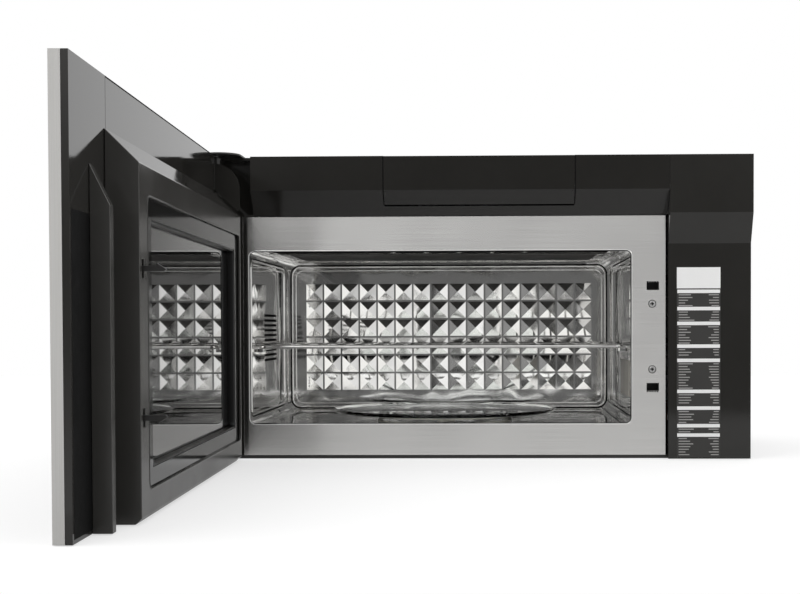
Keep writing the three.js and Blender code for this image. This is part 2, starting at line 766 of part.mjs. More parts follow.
function makeCoolingMotor() {
  const motor = bar('y', coolMotor.radius, coolX, coolZ, coolBack + fit, coolBack + coolMotor.length, 24);
  return motor.add(bar('y', coolShaft, coolX, coolZ, coolFront + coolMotor.reach, coolBack + over, 12));
}

const coolBlade = { hub: 12, count: 5, length: 16, chord: 24, thickness: 1.4, pitch: 0.6, front: 5 };

// A propeller: a hub with a bore, and blades that are flat plates turned by the pitch angle.
function makeCoolingFan() {
  const { hub, count, length, chord, thickness, pitch } = coolBlade;
  const root = hub - 3 * over;
  const middle = coolFront + coolBlade.front + length / 2;
  const solids = [bar('y', hub, coolX, coolZ, middle - length / 2, middle + length / 2, 20)];
  for (let i = 0; i < count; i += 1) {
    const blade = new THREE.BoxGeometry(coolRadius - root, thickness, chord);
    blade.translate((coolRadius + root) / 2, 0, 0).rotateX(pitch).rotateX(Math.PI / 2);
    blade.rotateY(i * 2 * Math.PI / count).translate(coolX, middle, coolZ);
    solids.push(toSolid(blade));
  }
  const bore = bar('y', coolShaft + fit, coolX, coolZ, coolFront, coolBack, 12);
  return joined(solids).subtract(bore);
}

// ---- Vent blower above the cavity ----

const blowerY = bodyDepth - 90;
const blowerZ = bodyHeight - 64.6;
const blowerHalfLength = 110;
const blowerHalfDepth = 62;
const blowerInlet = 38;
const blowerOutletRim = 8;
const blowerOutletBack = blowerY + blowerHalfDepth - blowerOutletRim;
const blowerMotorRadius = 36;
const blowerMotorHalf = 32;
const blowerShaft = 3;
const blowerShaftEnd = 12;
const cradle = { halfX: 12, halfY: 20 };

function makeBlowerHousing() {
  const x1 = blowerHalfLength;
  const y0 = blowerY - blowerHalfDepth;
  const y1 = blowerY + blowerHalfDepth;
  const z0 = cavityTop + cavitySheet + fit;
  const z1 = bodyHeight - sheet - fit;
  let housing = block(-x1, x1, y0, y1, z0, z1);
  housing = housing.subtract(block(sheet - x1, x1 - sheet, y0 + sheet, y1 - sheet, z0 + sheet, z1 - sheet));
  housing = housing.subtract(block(outletLeft, outletRight, outletFront, blowerOutletBack,
    z1 - sheet - over, z1 + over));
  for (const x of [-x1, x1 - sheet]) {
    housing = housing.subtract(bar('x', blowerInlet, blowerY, blowerZ, x - over, x + sheet + over, 32));
  }
  return housing.add(block(-cradle.halfX, cradle.halfX, blowerY - cradle.halfY, blowerY + cradle.halfY, z0,
    blowerZ - blowerMotorRadius - fit));
}

function makeBlowerMotor() {
  const motor = bar('x', blowerMotorRadius, blowerY, blowerZ, -blowerMotorHalf, blowerMotorHalf, 32);
  const reach = blowerHalfLength - blowerShaftEnd;
  return motor.add(bar('x', blowerShaft, blowerY, blowerZ, -reach, reach, 14));
}

const blowerWheel = { radius: 44, length: 52, gap: 4, plate: 1.5, hub: 9, hubLength: 20, ring: 8 };
const blowerVane = { count: 18, depth: 7, thickness: 1.2, inset: 4 };

function makeBlowerWheel(sign) {
  const { radius, length, plate, hub, hubLength } = blowerWheel;
  const near = blowerMotorHalf + blowerWheel.gap;
  const along = (a, b) => (sign > 0 ? [near + a, near + b] : [-near - b, -near - a]);
  const solids = [
    bar('x', radius, blowerY, blowerZ, ...along(0, plate), 24),
    bar('x', hub, blowerY, blowerZ, ...along(0, hubLength), 16),
    ring('x', radius, radius - blowerWheel.ring, blowerY, blowerZ, ...along(length - plate, length), 24),
  ];
  const circle = radius - blowerVane.inset;
  for (let i = 0; i < blowerVane.count; i += 1) {
    const angle = i * 2 * Math.PI / blowerVane.count;
    const vane = new THREE.BoxGeometry(length, blowerVane.depth, blowerVane.thickness).rotateX(angle);
    const y = blowerY + circle * Math.cos(angle);
    vane.translate(sign * (near + length / 2), y, blowerZ + circle * Math.sin(angle));
    solids.push(toSolid(vane));
  }
  const bore = bar('x', blowerShaft + fit, blowerY, blowerZ, ...along(-over, length + over), 14);
  return joined(solids).subtract(bore);
}

// ---- Convection unit ----

const convectionRight = cavityLeft - cavitySheet - fit;
const convectionLeft = convectionRight - convectionDepth;
const convectionShaft = 2.5;
const heaterClip = { halfY: 4, halfZ: 3 };

function makeConvectionHousing() {
  const y0 = convectionY - convectionLength / 2;
  const y1 = convectionY + convectionLength / 2;
  const z0 = convectionZ - convectionHeight / 2;
  const z1 = convectionZ + convectionHeight / 2;
  const outer = block(convectionLeft, convectionRight, y0, y1, z0, z1);
  const inner = block(convectionLeft + sheet, convectionRight + over, y0 + sheet, y1 - sheet, z0 + sheet, z1 - sheet);
  const solids = [outer.subtract(inner)];
  for (const sign of [-1, 1]) {
    const z = convectionZ + sign * heaterRadius;
    solids.push(block(convectionLeft, convectionLeft + convectionDepth / 2 - heaterTube - fit,
      convectionY - heaterClip.halfY, convectionY + heaterClip.halfY, z - heaterClip.halfZ, z + heaterClip.halfZ));
  }
  const shaftHole = bar('x', 2 * convectionShaft, convectionY, convectionZ, convectionLeft - over,
    convectionLeft + sheet + over, 16);
  return joined(solids).subtract(shaftHole);
}

function makeHeater() {
  const loop = new THREE.TorusGeometry(heaterRadius, heaterTube, 6, 32);
  loop.rotateY(Math.PI / 2).translate(convectionLeft + convectionDepth / 2, convectionY, convectionZ);
  return toSolid(loop);
}

const convectionMotor = { radius: 30, length: 20, shaftEnd: 4 };

function makeConvectionMotor() {
  const left = convectionLeft - convectionMotor.length;
  const motor = bar('x', convectionMotor.radius, convectionY, convectionZ, left, convectionLeft - fit, 28);
  return motor.add(bar('x', convectionShaft, convectionY, convectionZ, convectionLeft - over,
    convectionRight - convectionMotor.shaftEnd, 12));
}

const convectionWheel = { gap: 5, disc: 1.2, hub: 8, hubLength: 10, blades: 10, blade: 11, inner: 18 };

function makeConvectionFan() {
  const { disc, hub, hubLength, blades, blade, inner } = convectionWheel;
  const x0 = convectionLeft + convectionWheel.gap;
  const solids = [
    bar('x', convectionFanRadius, convectionY, convectionZ, x0, x0 + disc, 36),
    bar('x', hub, convectionY, convectionZ, x0, x0 + hubLength, 16),
  ];
  for (let i = 0; i < blades; i += 1) {
    const vane = new THREE.BoxGeometry(blade, convectionFanRadius - inner, disc);
    vane.translate(x0 + blade / 2 + sink, (convectionFanRadius + inner) / 2, 0).rotateX(i * 2 * Math.PI / blades);
    solids.push(toSolid(vane.translate(0, convectionY, convectionZ)));
  }
  const bore = bar('x', convectionShaft + fit, convectionY, convectionZ, x0 - over, x0 + blade + over, 12);
  return joined(solids).subtract(bore);
}

// ---- Turntable ----

const tableMotor = { radius: 24, height: 22, earX: 33, earY: 6, earThickness: 1.5, shaft: 3, shaftLength: 7 };
const rollerTop = cavityBottom + fit + 2 * rollerRadius;

function makeTurntableMotor() {
  const { radius, height, earX, earY, earThickness, shaft, shaftLength } = tableMotor;
  const top = cavityBottom - cavitySheet - fit;
  return joined([
    bar('z', radius, cavityCentreX, cavityCentreY, top - height, top, 28),
    block(cavityCentreX - earX, cavityCentreX + earX, cavityCentreY - earY, cavityCentreY + earY,
      top - earThickness, top),
    bar('z', shaft, cavityCentreX, cavityCentreY, top - over, top + shaftLength, 12),
  ]);
}

const couplerLobe = { length: 16, width: 6, gap: 1, count: 3 };

function makeCoupler() {
  const bottom = cavityBottom - cavitySheet;
  const lobeBottom = cavityBottom + couplerLobe.gap;
  const solids = [bar('z', couplerHole - 2 * over, cavityCentreX, cavityCentreY, bottom, rollerTop, 24)];
  for (let i = 0; i < couplerLobe.count; i += 1) {
    const lobe = new THREE.BoxGeometry(couplerLobe.length, couplerLobe.width, rollerTop - lobeBottom);
    lobe.translate(couplerLobe.length / 2, 0, (rollerTop + lobeBottom) / 2);
    lobe.rotateZ(i * 2 * Math.PI / couplerLobe.count).translate(cavityCentreX, cavityCentreY, 0);
    solids.push(toSolid(lobe));
  }
  const socket = bar('z', tableMotor.shaft + fit, cavityCentreX, cavityCentreY, bottom - over,
    bottom + tableMotor.shaftLength + fit, 12);
  return joined(solids).subtract(socket);
}

// The glass tray is flat to a foot circle and turns up to a rounded rim.
function makeGlassTray() {
  const bottom = rollerTop + fit;
  const top = bottom + trayThickness;
  const rim = bottom + trayRim;
  const r = trayRadius;
  const profile = [[0, bottom], [r - 12, bottom], [r - 5, bottom + 1], [r - 1, rim - 3], [r, rim - 1], [r - 1.5, rim],
    [r - 3.5, rim - 1], [r - 8, top + 0.5], [r - 14, top], [0, top]];
  return turned('z', profile, cavityCentreX, cavityCentreY, 56);
}

const rollerZ = cavityBottom + fit + rollerRadius;
const axleRadius = 1.2;
const axleLength = 12;
const axleSink = 1;
const rollerGap = 0.5;

const rollerAngle = (i) => (i * 2 / 3 + 1 / 6) * Math.PI;

function makeRollerRing() {
  const half = 0.7 * ringTube;
  const inner = rollerCircle - 2 * ringTube;
  const profile = [[inner, rollerZ - half], [rollerCircle, rollerZ - half], [rollerCircle, rollerZ + half],
    [inner, rollerZ + half], [inner, rollerZ - half]];
  const solids = [turned('z', profile, cavityCentreX, cavityCentreY, 48)];
  for (let i = 0; i < 3; i += 1) {
    const axle = new THREE.CylinderGeometry(axleRadius, axleRadius, axleLength, 10).rotateZ(Math.PI / 2);
    axle.translate(rollerCircle + axleLength / 2 - axleSink, 0, 0).rotateZ(rollerAngle(i));
    solids.push(toSolid(axle.translate(cavityCentreX, cavityCentreY, rollerZ)));
  }
  return joined(solids);
}

function makeRoller(i) {
  const place = (radius, width, sides) => {
    const cylinder = new THREE.CylinderGeometry(radius, radius, width, sides).rotateZ(Math.PI / 2);
    cylinder.translate(rollerCircle + axleLength / 2 - rollerGap, 0, 0).rotateZ(rollerAngle(i));
    return toSolid(cylinder.translate(cavityCentreX, cavityCentreY, rollerZ));
  };
  return place(rollerRadius, rollerWidth, 20).subtract(place(axleRadius + fit, rollerWidth + 2 * over, 12));
}

// ---- Rack ----

const rackBrace = 2;
const rackBraceFront = 100;
const rackBraceGap = 120;

function makeRack() {
  const left = cavityLeft + rackInset;
  const right = cavityRight - rackInset;
  const r = rackWire;
  const braceZ = rackHeight - r + rackBrace;
  const solids = [rackFront, rackBack].map((y) => bar('x', r, y, rackHeight, left, right, 8));
  for (const x of [left, right]) {
    solids.push(bar('y', r, x, rackHeight, rackFront - r, rackBack + r, 8));
  }
  for (const y of [rackFront + rackBraceFront, rackFront + rackBraceFront + rackBraceGap]) {
    solids.push(bar('x', rackBrace, y, braceZ, left, right, 8));
  }
  for (let i = 1; i <= rackCrossCount; i += 1) {
    const x = left + i * (right - left) / (rackCrossCount + 1);
    solids.push(bar('y', rackCrossWire, x, rackHeight + rackWire - rackCrossWire, rackFront, rackBack, 6));
  }
  return joined(solids);
}

const support = { front: 66, back: cavityBack - 37.65, strip: 3.5, stripHalf: 3, pad: 24, padHeight: 5, padReach: 2 };

function makeRackSupport(sign) {
  const wall = sign < 0 ? cavityLeft + fit : cavityRight - fit;
  const span = (width) => (sign < 0 ? [wall, wall + width] : [wall - width, wall]);
  const top = rackHeight - rackWire - fit;
  const solids = [block(...span(support.strip), support.front, support.back, top - support.stripHalf,
    top + support.stripHalf)];
  for (const y of [support.front, support.back - support.pad]) {
    solids.push(block(...span(rackInset + support.padReach), y, y + support.pad, top - support.padHeight, top));
  }
  return joined(solids);
}

// ---- Latch bracket and door switches behind the frame ----

const bracketLeft = latchX - 14.5;
const bracketRight = latchX + 16;
const bracketDepth = 33;
const bracketBack = frameBack + bracketDepth;
const bracketEnd = 22;
const bracketWall = 4;
const bracketFloor = 6;
const hookRoomX = 1;
const hookRoomZ = 3;

function makeLatchBracket() {
  const y0 = frameBack + fit;
  const halfX = slotWidth / 2 + hookRoomX;
  const halfZ = slotHeight / 2 + hookRoomZ;
  let bracket = block(bracketLeft, bracketRight, y0, bracketBack, latchLower - bracketEnd, latchUpper + bracketEnd);
  for (const z of [latchUpper, latchLower]) {
    bracket = bracket.subtract(block(latchX - halfX, latchX + halfX, y0 - over, bracketBack - bracketWall,
      z - halfZ, z + halfZ));
  }
  return bracket.subtract(block(bracketLeft + bracketWall, bracketRight - bracketWall, y0 + bracketFloor,
    bracketBack + over, latchLower + bracketEnd, latchUpper - bracketEnd));
}

const doorSwitch = { width: 10, depth: 16, half: 14, gap: 2.5, plungerInset: 3, plungerZ: 4, plunger: 4, reach: 1.5 };
const switchOffset = 30;
const switchTab = { inset: 4, width: 1, reach: 6, pitch: 8, half: 2 };

function makeDoorSwitch(z) {
  const x0 = bracketRight + fit;
  const y0 = frameSetback + returnDepth + doorSwitch.gap;
  const y1 = y0 + doorSwitch.depth;
  const plungerX = x0 + doorSwitch.plungerInset;
  const plungerZ = z + doorSwitch.plungerZ;
  const solids = [
    block(x0, x0 + doorSwitch.width, y0, y1, z - doorSwitch.half, z + doorSwitch.half),
    block(plungerX, plungerX + doorSwitch.plunger, y0 - doorSwitch.reach, y0 + over, plungerZ,
      plungerZ + doorSwitch.plunger),
  ];
  for (const i of [-1, 0, 1]) {
    const x = x0 + switchTab.inset;
    const middle = z + i * switchTab.pitch;
    solids.push(block(x, x + switchTab.width, y1 - over, y1 + switchTab.reach, middle - switchTab.half,
      middle + switchTab.half));
  }
  return joined(solids);
}

const bulb = {
  y: cavityBack - 117.65, z: cavityTop - 27.3, plateHalf: 20,
  plate: 1.5, radius: 11, length: 26, capRadius: 8, capLength: 14,
};

function makeCavityLamp() {
  const { y, z, plateHalf, plate, radius, length, capRadius, capLength } = bulb;
  const x0 = cavityRight + cavitySheet + fit;
  return joined([
    block(x0, x0 + plate, y - plateHalf, y + plateHalf, z - plateHalf, z + plateHalf),
    bar('x', radius, y, z, x0 + over, x0 + length, 18),
    bar('x', capRadius, y, z, x0 + length - over, x0 + length + capLength, 16),
  ]);
}

// ---- Hinges on the body ----

const capRadius = 28;
const capX = 17.5 - halfWidth;
const capY = -2;
const hingePlate = 2.5;
const strapBack = 90;
const strapInset = 2;
const footFront = 50;
const footReach = 40;
const lowerPlateZ = sheet + fit;
const pinHoleRadius = hingePinRadius + fit;
const hingeTop = bodyHeight + fit + hingePlate;
const hingeTongueTop = lowerPlateZ + hingePlate;

function makeUpperBracket() {
  const z0 = bodyHeight + fit;
  const disc = bar('z', capRadius, capX, capY, z0, hingeTop, 40);
  const strap = block(strapInset - halfWidth, capX + capRadius, capY, strapBack, z0, hingeTop);
  return disc.add(strap).subtract(bar('z', pinHoleRadius, hingeX, hingeY, z0 - over, hingeTop + over));
}

function makeLowerBracket() {
  const left = hingeX - tongueHalf;
  const disc = bar('z', tongueHalf, hingeX, hingeY, lowerPlateZ, hingeTongueTop, 20);
  const tongue = block(left, hingeX + tongueHalf, hingeY, strapBack, lowerPlateZ, hingeTongueTop);
  const foot = block(left, hingeX + footReach, footFront, strapBack, lowerPlateZ, hingeTongueTop);
  const hole = bar('z', pinHoleRadius, hingeX, hingeY, lowerPlateZ - over, hingeTongueTop + over);
  return joined([disc, tongue, foot]).subtract(hole);
}

const pinLength = 22;
const makePin = (from, to) => bar('z', hingePinRadius, hingeX, hingeY, from, to);

// ---- Door, drawn closed: its group then turns it open about the hinge ----

const shellWall = 1.2;
const glassOverlap = 10;

function makeDoorShell() {
  const back = doorFace + shellDepth;
  const wall = shellWall;
  const outer = block(doorLeft, doorRight, doorFace, back, fit, bodyHeight);
  const hollow = block(doorLeft + wall, doorRight - wall, doorFace + wall, back + over, fit + wall,
    bodyHeight - wall);
  const opening = roundedRect(doorLeft + glassMargin, doorRight - glassMargin, glassMargin, bodyHeight - glassMargin,
    glassCorner);
  return outer.subtract(hollow).subtract(extrude('y', opening, doorFace - over, doorFace + wall + over));
}

function makeDoorGlass() {
  const margin = glassMargin - glassOverlap;
  const y0 = doorFace + shellWall + fit;
  return block(doorLeft + margin, doorRight - margin, y0, y0 + glassThickness, margin, bodyHeight - margin);
}

const finDrop = 10.6;

// The arm at the hinge in side view, from the inner panel back into the pocket of the band.
function finOutline() {
  const root = doorFace + linerBase - over;
  const tip = frameSetback + sink;
  const top = bodyHeight - finDrop;
  return outline([[root, top], [8, top - 2], [20, top - 9], [29, top - 21], [tip, top - 33], [tip, top - 64.5],
    [28, top - 66.5], [root, top - 35.5]]);
}

const panelOpening = { left: 14, right: 8, bottom: 14 };
const knuckleLength = 23.2;
const knuckleGap = 0.8;

function makeInnerPanel() {
  const y0 = doorFace + shellDepth + fit;
  const y1 = doorFace + linerBase;
  const finLeft = hingeX + finOffset;
  const upperBottom = bodyHeight - knuckleGap - knuckleLength;
  const lowerBottom = hingeTongueTop + fit;
  const plate = block(doorLeft, doorRight, y0, y1, fit, bodyHeight);
  const opening = block(linerLeft + panelOpening.left, linerRight - panelOpening.right, y0 - over, y1 + over,
    panelOpening.bottom, linerTopFront);
  let panel = joined([
    plate.subtract(opening),
    extrude('x', finOutline(), finLeft, finLeft + finThickness),
    bar('z', knuckleRadius, hingeX, hingeY, upperBottom, bodyHeight - knuckleGap, 24),
    bar('z', knuckleRadius, hingeX, hingeY, lowerBottom, lowerBottom + knuckleLength, 24),
  ]);
  panel = panel.subtract(bar('z', pinHoleRadius, hingeX, hingeY, upperBottom - over, bodyHeight + over));
  panel = panel.subtract(bar('z', pinHoleRadius, hingeX, hingeY, -over, lowerBottom + knuckleLength + over));
  return panel.subtract(hingeNotch(y0 - over));
}

const notchRoom = 3;

// Room over the lower hinge plate.
function hingeNotch(front) {
  return block(doorLeft - over, hingeX + tongueHalf + notchRoom, front, linerFace + over,
    -over, hingeTongueTop + fit);
}

const grip = { left: 1, right: 4, front: 4, back: 3, bottom: 12, top: 8 };

function makeFingerBar() {
  const y0 = doorFace + linerBase + fit;
  const y1 = y0 + barDepth;
  const side = outline([[y0, barTopBack], [y0, fit], [y1, fit], [y1, barTopFront]]);
  const rib = extrude('x', side, barLeft, barLeft + barWidth);
  return rib.subtract(block(barLeft - grip.left, barLeft + barWidth - grip.right, y0 + grip.front, y1 - grip.back,
    grip.bottom, barTopFront - grip.top));
}

// The liner's side view, drawn smaller by the inset for its hollow, which opens towards the door.
function linerOutline(inset) {
  const y0 = doorFace + linerBase + fit - (inset ? over : 0);
  const y1 = linerFace - inset;
  const slope = (linerTopBack - linerTopFront) / (linerDepth - linerBase);
  const drop = slopeWallRise * inset;
  return outline([[y0, linerTopBack - drop], [y0, fit + inset], [y1 - linerChamfer, fit + inset],
    [y1, fit + linerChamfer + inset], [y1, linerTopFront - drop + slope * inset]]);
}

const hookHoleHalfX = 5;
const hookHoleHalfZ = 9;

function makeLiner() {
  const wall = plasticWall;
  const front = linerFace - wall - over;
  const back = linerFace + over;
  let liner = extrude('x', linerOutline(0), linerLeft, linerRight);
  liner = liner.subtract(extrude('x', linerOutline(wall), linerLeft + wall, linerRight - wall));
  const opening = roundedRect(windowLeft, windowRight, windowBottom, windowTop, windowRadius);
  liner = liner.subtract(extrude('y', opening, front, back));
  for (const z of [latchUpper, latchLower]) {
    liner = liner.subtract(block(latchX - hookHoleHalfX, latchX + hookHoleHalfX, front, back,
      z - hookHoleHalfZ, z + hookHoleHalfZ));
  }
  const knuckleRoom = block(linerLeft - over, hingeX + knuckleRadius + over, doorFace + linerBase - over,
    hingeY + knuckleRadius + over, -over, hingeTongueTop + knuckleLength + over);
  return liner.subtract(hingeNotch(doorFace + linerBase)).subtract(knuckleRoom);
}

const latchEar = { half: 6, thickness: 2.5 };
const trunnionRadius = 2;
const trunnionHalf = 7;
const latchPivotY = doorFace + latchPivotDepth;
const springY = latchPivotY - latchTail;
const chokeSide = 2;
const chokeBottom = 14;
const chokeTop = 12;

function makeChokeFrame() {
  const plateBack = linerFace - plasticWall - fit;
  const plateFront = plateBack - sheet;
  const plate = block(linerLeft + plasticWall + chokeSide, linerRight - plasticWall - chokeSide, plateFront,
    plateBack, chokeBottom, linerTopFront - chokeTop);
  const trayFront = plateBack - trayDepth;
  const tray = block(recessLeft - sheet, recessRight + sheet, trayFront, plateBack,
    recessBottom - sheet, recessTop + sheet);
  const hollow = block(recessLeft, recessRight, trayFront + sheet, plateBack + over, recessBottom, recessTop);
  let frame = plate.add(tray).subtract(hollow);
  for (const [z, sign] of [[latchUpper, 1], [latchLower, -1]]) {
    frame = frame.subtract(block(latchX - hookHoleHalfX, latchX + hookHoleHalfX, plateFront - over, plateBack + over,
      z - hookHoleHalfZ, z + hookHoleHalfZ));
    for (const x of [latchX - hookHoleHalfX - latchEar.thickness, latchX + hookHoleHalfX]) {
      frame = frame.add(block(x, x + latchEar.thickness, latchPivotY - latchEar.half, plateBack - sheet / 2,
        z - latchEar.half, z + latchEar.half));
    }
    frame = frame.subtract(bar('x', trunnionRadius + fit, latchPivotY, z, latchX - trunnionHalf - 2 * over,
      latchX + trunnionHalf + 2 * over, 12));
    frame = frame.add(springPost(z, sign, plateFront));
  }
  return frame;
}

const springGap = 26;
const postHalf = 2;

// The post that a latch spring hooks over, between the two latches.
function springPost(z, sign, plateFront) {
  const zPost = z - sign * (springGap + over + postHalf);
  return block(latchX - postHalf, latchX + postHalf, springY - postHalf - over, plateFront + sheet / 2,
    zPost - postHalf, zPost + postHalf);
}

const barbLength = 9;
const hookNose = 2;

function makeLatchHook(z, sign) {
  const tip = linerFace + latchReach;
  const half = latchShank / 2;
  const barbBack = tip - barbLength;
  const tail = springY - hookNose;
  const points = [[tail, -half], [tip - hookNose, -half], [tip, hookNose - half], [barbBack, half + latchBarb],
    [barbBack, half], [tail, half]];
  const shape = outline(points.map(([y, side]) => [y, z + sign * side]));
  const arm = extrude('x', shape, latchX - latchThickness / 2, latchX + latchThickness / 2);
  return arm.add(bar('x', trunnionRadius, latchPivotY, z, latchX - trunnionHalf, latchX + trunnionHalf, 12));
}

const springRadius = 2.6;
const springWire = 0.45;
const springTurns = 5;
const springSteps = 7;

function makeLatchSpring(z, sign) {
  const start = z - sign * (latchShank / 2 + fit + springWire);
  const end = z - sign * (springGap + over - fit - springWire);
  const points = [];
  const steps = springTurns * springSteps;
  for (let i = 0; i <= steps; i += 1) {
    const angle = i / springSteps * 2 * Math.PI;
    points.push(new THREE.Vector3(latchX + springRadius * Math.cos(angle), springY + springRadius * Math.sin(angle),
      start + (end - start) * i / steps));
  }
  const wire = new THREE.Shape().absarc(0, 0, springWire, 0, 2 * Math.PI, false);
  const extrudePath = new THREE.CatmullRomCurve3(points);
  return toSolid(new THREE.ExtrudeGeometry(wire, { steps, extrudePath, curveSegments: 2, bevelEnabled: false }));
}

const paneInset = 9;

function makeInnerGlass() {
  const back = linerFace - plasticWall - fit - paneInset;
  return block(recessLeft + fit, recessRight - fit, back - glassThickness, back, recessBottom + fit, recessTop - fit);
}

const part = new THREE.Group();

const fixedPieces = [
  ['cabinet_shell', makeCabinetShell(), darkEnamel],
  ['rear_panel', makeRearPanel(), zincSteel],
  ['base_plate', makeBasePlate(), darkEnamel],
  ['front_frame', makeFrontFrame(), stainless],
  ['oven_cavity', makeCavity(), polishedSteel],
  ['front_bezel', makeBezel(), glossBlack],
  ['charcoal_filter', makeCharcoalFilter(), carbonGrey],
  ['right_panel', makeRightPanel(), glossBlack],
  ['control_board', makeControlBoard(), boardGreen],
  ['upper_hinge_bracket', makeUpperBracket(), satinBlack],
  ['lower_hinge_bracket', makeLowerBracket(), zincSteel],
  ['upper_hinge_pin', makePin(bodyHeight - pinLength, hingeTop - sink), chrome],
  ['lower_hinge_pin', makePin(lowerPlateZ + sink, lowerPlateZ + pinLength), chrome],
  ['latch_bracket', makeLatchBracket(), whiteNylon],
  ['door_switch_upper', makeDoorSwitch(latchUpper - switchOffset), satinBlack],
  ['door_switch_lower', makeDoorSwitch(latchLower + switchOffset), satinBlack],
  ['waveguide', makeWaveguide(), zincSteel],
  ['waveguide_cover', makeWaveguideCover(), mica],
  ['magnetron', makeMagnetron(), zincSteel],
  ['transformer', makeTransformer(), copper],
  ['capacitor', makeCapacitor(), aluminiumMesh],
  ['cooling_fan_housing', makeCoolingHousing(), satinBlack],
  ['cooling_fan_motor', makeCoolingMotor(), zincSteel],
  ['blower_housing', makeBlowerHousing(), zincSteel],
  ['blower_motor', makeBlowerMotor(), satinBlack],
  ['convection_housing', makeConvectionHousing(), zincSteel],
  ['convection_heater', makeHeater(), darkEnamel],
  ['convection_motor', makeConvectionMotor(), satinBlack],
  ['turntable_motor', makeTurntableMotor(), zincSteel],
  ['rack_support_left', makeRackSupport(-1), polishedSteel],
  ['rack_support_right', makeRackSupport(1), polishedSteel],
  ['cavity_lamp', makeCavityLamp(), whiteNylon],
  ['cooktop_lamp', makeCooktopLamp(), aluminiumMesh],
  ['lamp_lens', makeLampLens(), clearGlass],
  ['grease_filter_left', makeGreaseFilter(greaseLeftX), aluminiumMesh],
  ['grease_filter_right', makeGreaseFilter(greaseRightX), aluminiumMesh],
  ['cord_grommet', makeGrommet(), satinBlack],
];

const movingPieces = [
  ['filter_flap', makeFlap(), glossBlack],
  ['cooling_fan_blade', makeCoolingFan(), whiteNylon],
  ['blower_wheel_left', makeBlowerWheel(-1), zincSteel],
  ['blower_wheel_right', makeBlowerWheel(1), zincSteel],
  ['convection_fan', makeConvectionFan(), aluminiumMesh],
  ['drive_coupler', makeCoupler(), whiteNylon],
  ['glass_turntable', makeGlassTray(), clearGlass],
  ['roller_ring', makeRollerRing(), whiteNylon],
  ['roller_1', makeRoller(0), whiteNylon],
  ['roller_2', makeRoller(1), whiteNylon],
  ['roller_3', makeRoller(2), whiteNylon],
  ['wire_rack', makeRack(), chrome],
];

const doorPieces = [
  ['door_shell', makeDoorShell(), stainless],
  ['door_glass', makeDoorGlass(), smokedGlass],
  ['door_inner_panel', makeInnerPanel(), glossBlack],
  ['finger_bar', makeFingerBar(), satinBlack],
  ['door_liner', makeLiner(), satinBlack],
  ['choke_frame', makeChokeFrame(), darkEnamel],
  ['inner_glass', makeInnerGlass(), smokedGlass],
  ['latch_hook_upper', makeLatchHook(latchUpper, 1), whiteNylon],
  ['latch_hook_lower', makeLatchHook(latchLower, -1), whiteNylon],
  ['latch_spring_upper', makeLatchSpring(latchUpper, 1), chrome],
  ['latch_spring_lower', makeLatchSpring(latchLower, -1), chrome],
];

for (const [name, solid, material] of [...fixedPieces, ...movingPieces]) {
  addMesh(part, name, solid, material);
}

const door = new THREE.Group();
door.position.set(hingeX, hingeY, 0);
for (const [name, solid, material] of doorPieces) {
  addMesh(door, name, solid, material);
}
door.rotation.z = -openAngle * Math.PI / 180;
part.add(door);
part.position.y = -bodyDepth / 2;

export default part;
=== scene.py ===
import json
import math

import bmesh
import bpy
import numpy as np
from mathutils import Matrix, Vector


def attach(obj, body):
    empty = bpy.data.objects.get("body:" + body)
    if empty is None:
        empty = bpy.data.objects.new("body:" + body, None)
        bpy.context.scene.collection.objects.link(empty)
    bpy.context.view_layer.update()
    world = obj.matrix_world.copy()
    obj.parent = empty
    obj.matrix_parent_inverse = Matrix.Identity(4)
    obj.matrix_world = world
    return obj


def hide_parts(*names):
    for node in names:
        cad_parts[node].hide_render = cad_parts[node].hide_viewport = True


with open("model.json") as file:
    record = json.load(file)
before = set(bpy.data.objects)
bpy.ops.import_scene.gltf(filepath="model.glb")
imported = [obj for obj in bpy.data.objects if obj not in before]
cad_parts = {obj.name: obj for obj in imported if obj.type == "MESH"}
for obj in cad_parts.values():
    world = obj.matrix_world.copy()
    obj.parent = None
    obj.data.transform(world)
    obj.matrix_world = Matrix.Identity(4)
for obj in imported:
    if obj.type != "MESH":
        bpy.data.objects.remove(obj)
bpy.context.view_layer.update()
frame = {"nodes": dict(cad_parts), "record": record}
nodes = frame["nodes"]
print("frame loaded:", len(nodes), "nodes")

# Lengths of pieces are in millimetres, with Y counted from the front of the upper band.
millimetre = 0.001
oven = {
    "bandToFrame": -200.0,                                           # the frame's Y of the band's front
    "height": 425.6, "frameSetback": 31.65, "cavityBack": 387.65,
    "cavityLeft": -331.7, "cavityRight": 215.7, "cavityBottom": 46.9, "cavityTop": 297.3,
    "opening": (-329.7, 213.7, 48.9, 295.3), "openingRadius": 8.0,   # its left, right, low and high edge
}
# the door's hinge axis, and its turn from closed to where it rests
doorTurn = {"x": -368.1, "y": -1.76, "degrees": -88.05}
toRight, toLeft, toFront, toBack = (1, 0, 0), (-1, 0, 0), (0, -1, 0), (0, 1, 0)
upwards, downwards = (0, 0, 1), (0, 0, -1)


def toMetres(points):
    # moved from the band's front to the frame's zero, and scaled
    return (np.asarray(points, float) + (0.0, oven["bandToFrame"], 0.0)) * millimetre


def openDoor(points):
    # points of the closed door turned about the hinge: x cos - y sin and x sin + y cos from its axis
    points = np.array(points, float)
    angle = math.radians(doorTurn["degrees"])
    x = points[..., 0] - doorTurn["x"]
    y = points[..., 1] - doorTurn["y"]
    points[..., 0] = doorTurn["x"] + x * math.cos(angle) - y * math.sin(angle)
    points[..., 1] = doorTurn["y"] + x * math.sin(angle) + y * math.cos(angle)
    return points


# The camera: picture size, focal length and centre in pixels, and its place and angles in radians.
photo = {"width": 800, "height": 594, "focal": 1370.05, "centreX": 463.26, "centreY": 359.31, "sensor": 36.0}
stand = {"place": (19.42, -1913.75, 187.48), "yaw": 0.0228, "pitch": -0.0240, "roll": -0.0031}


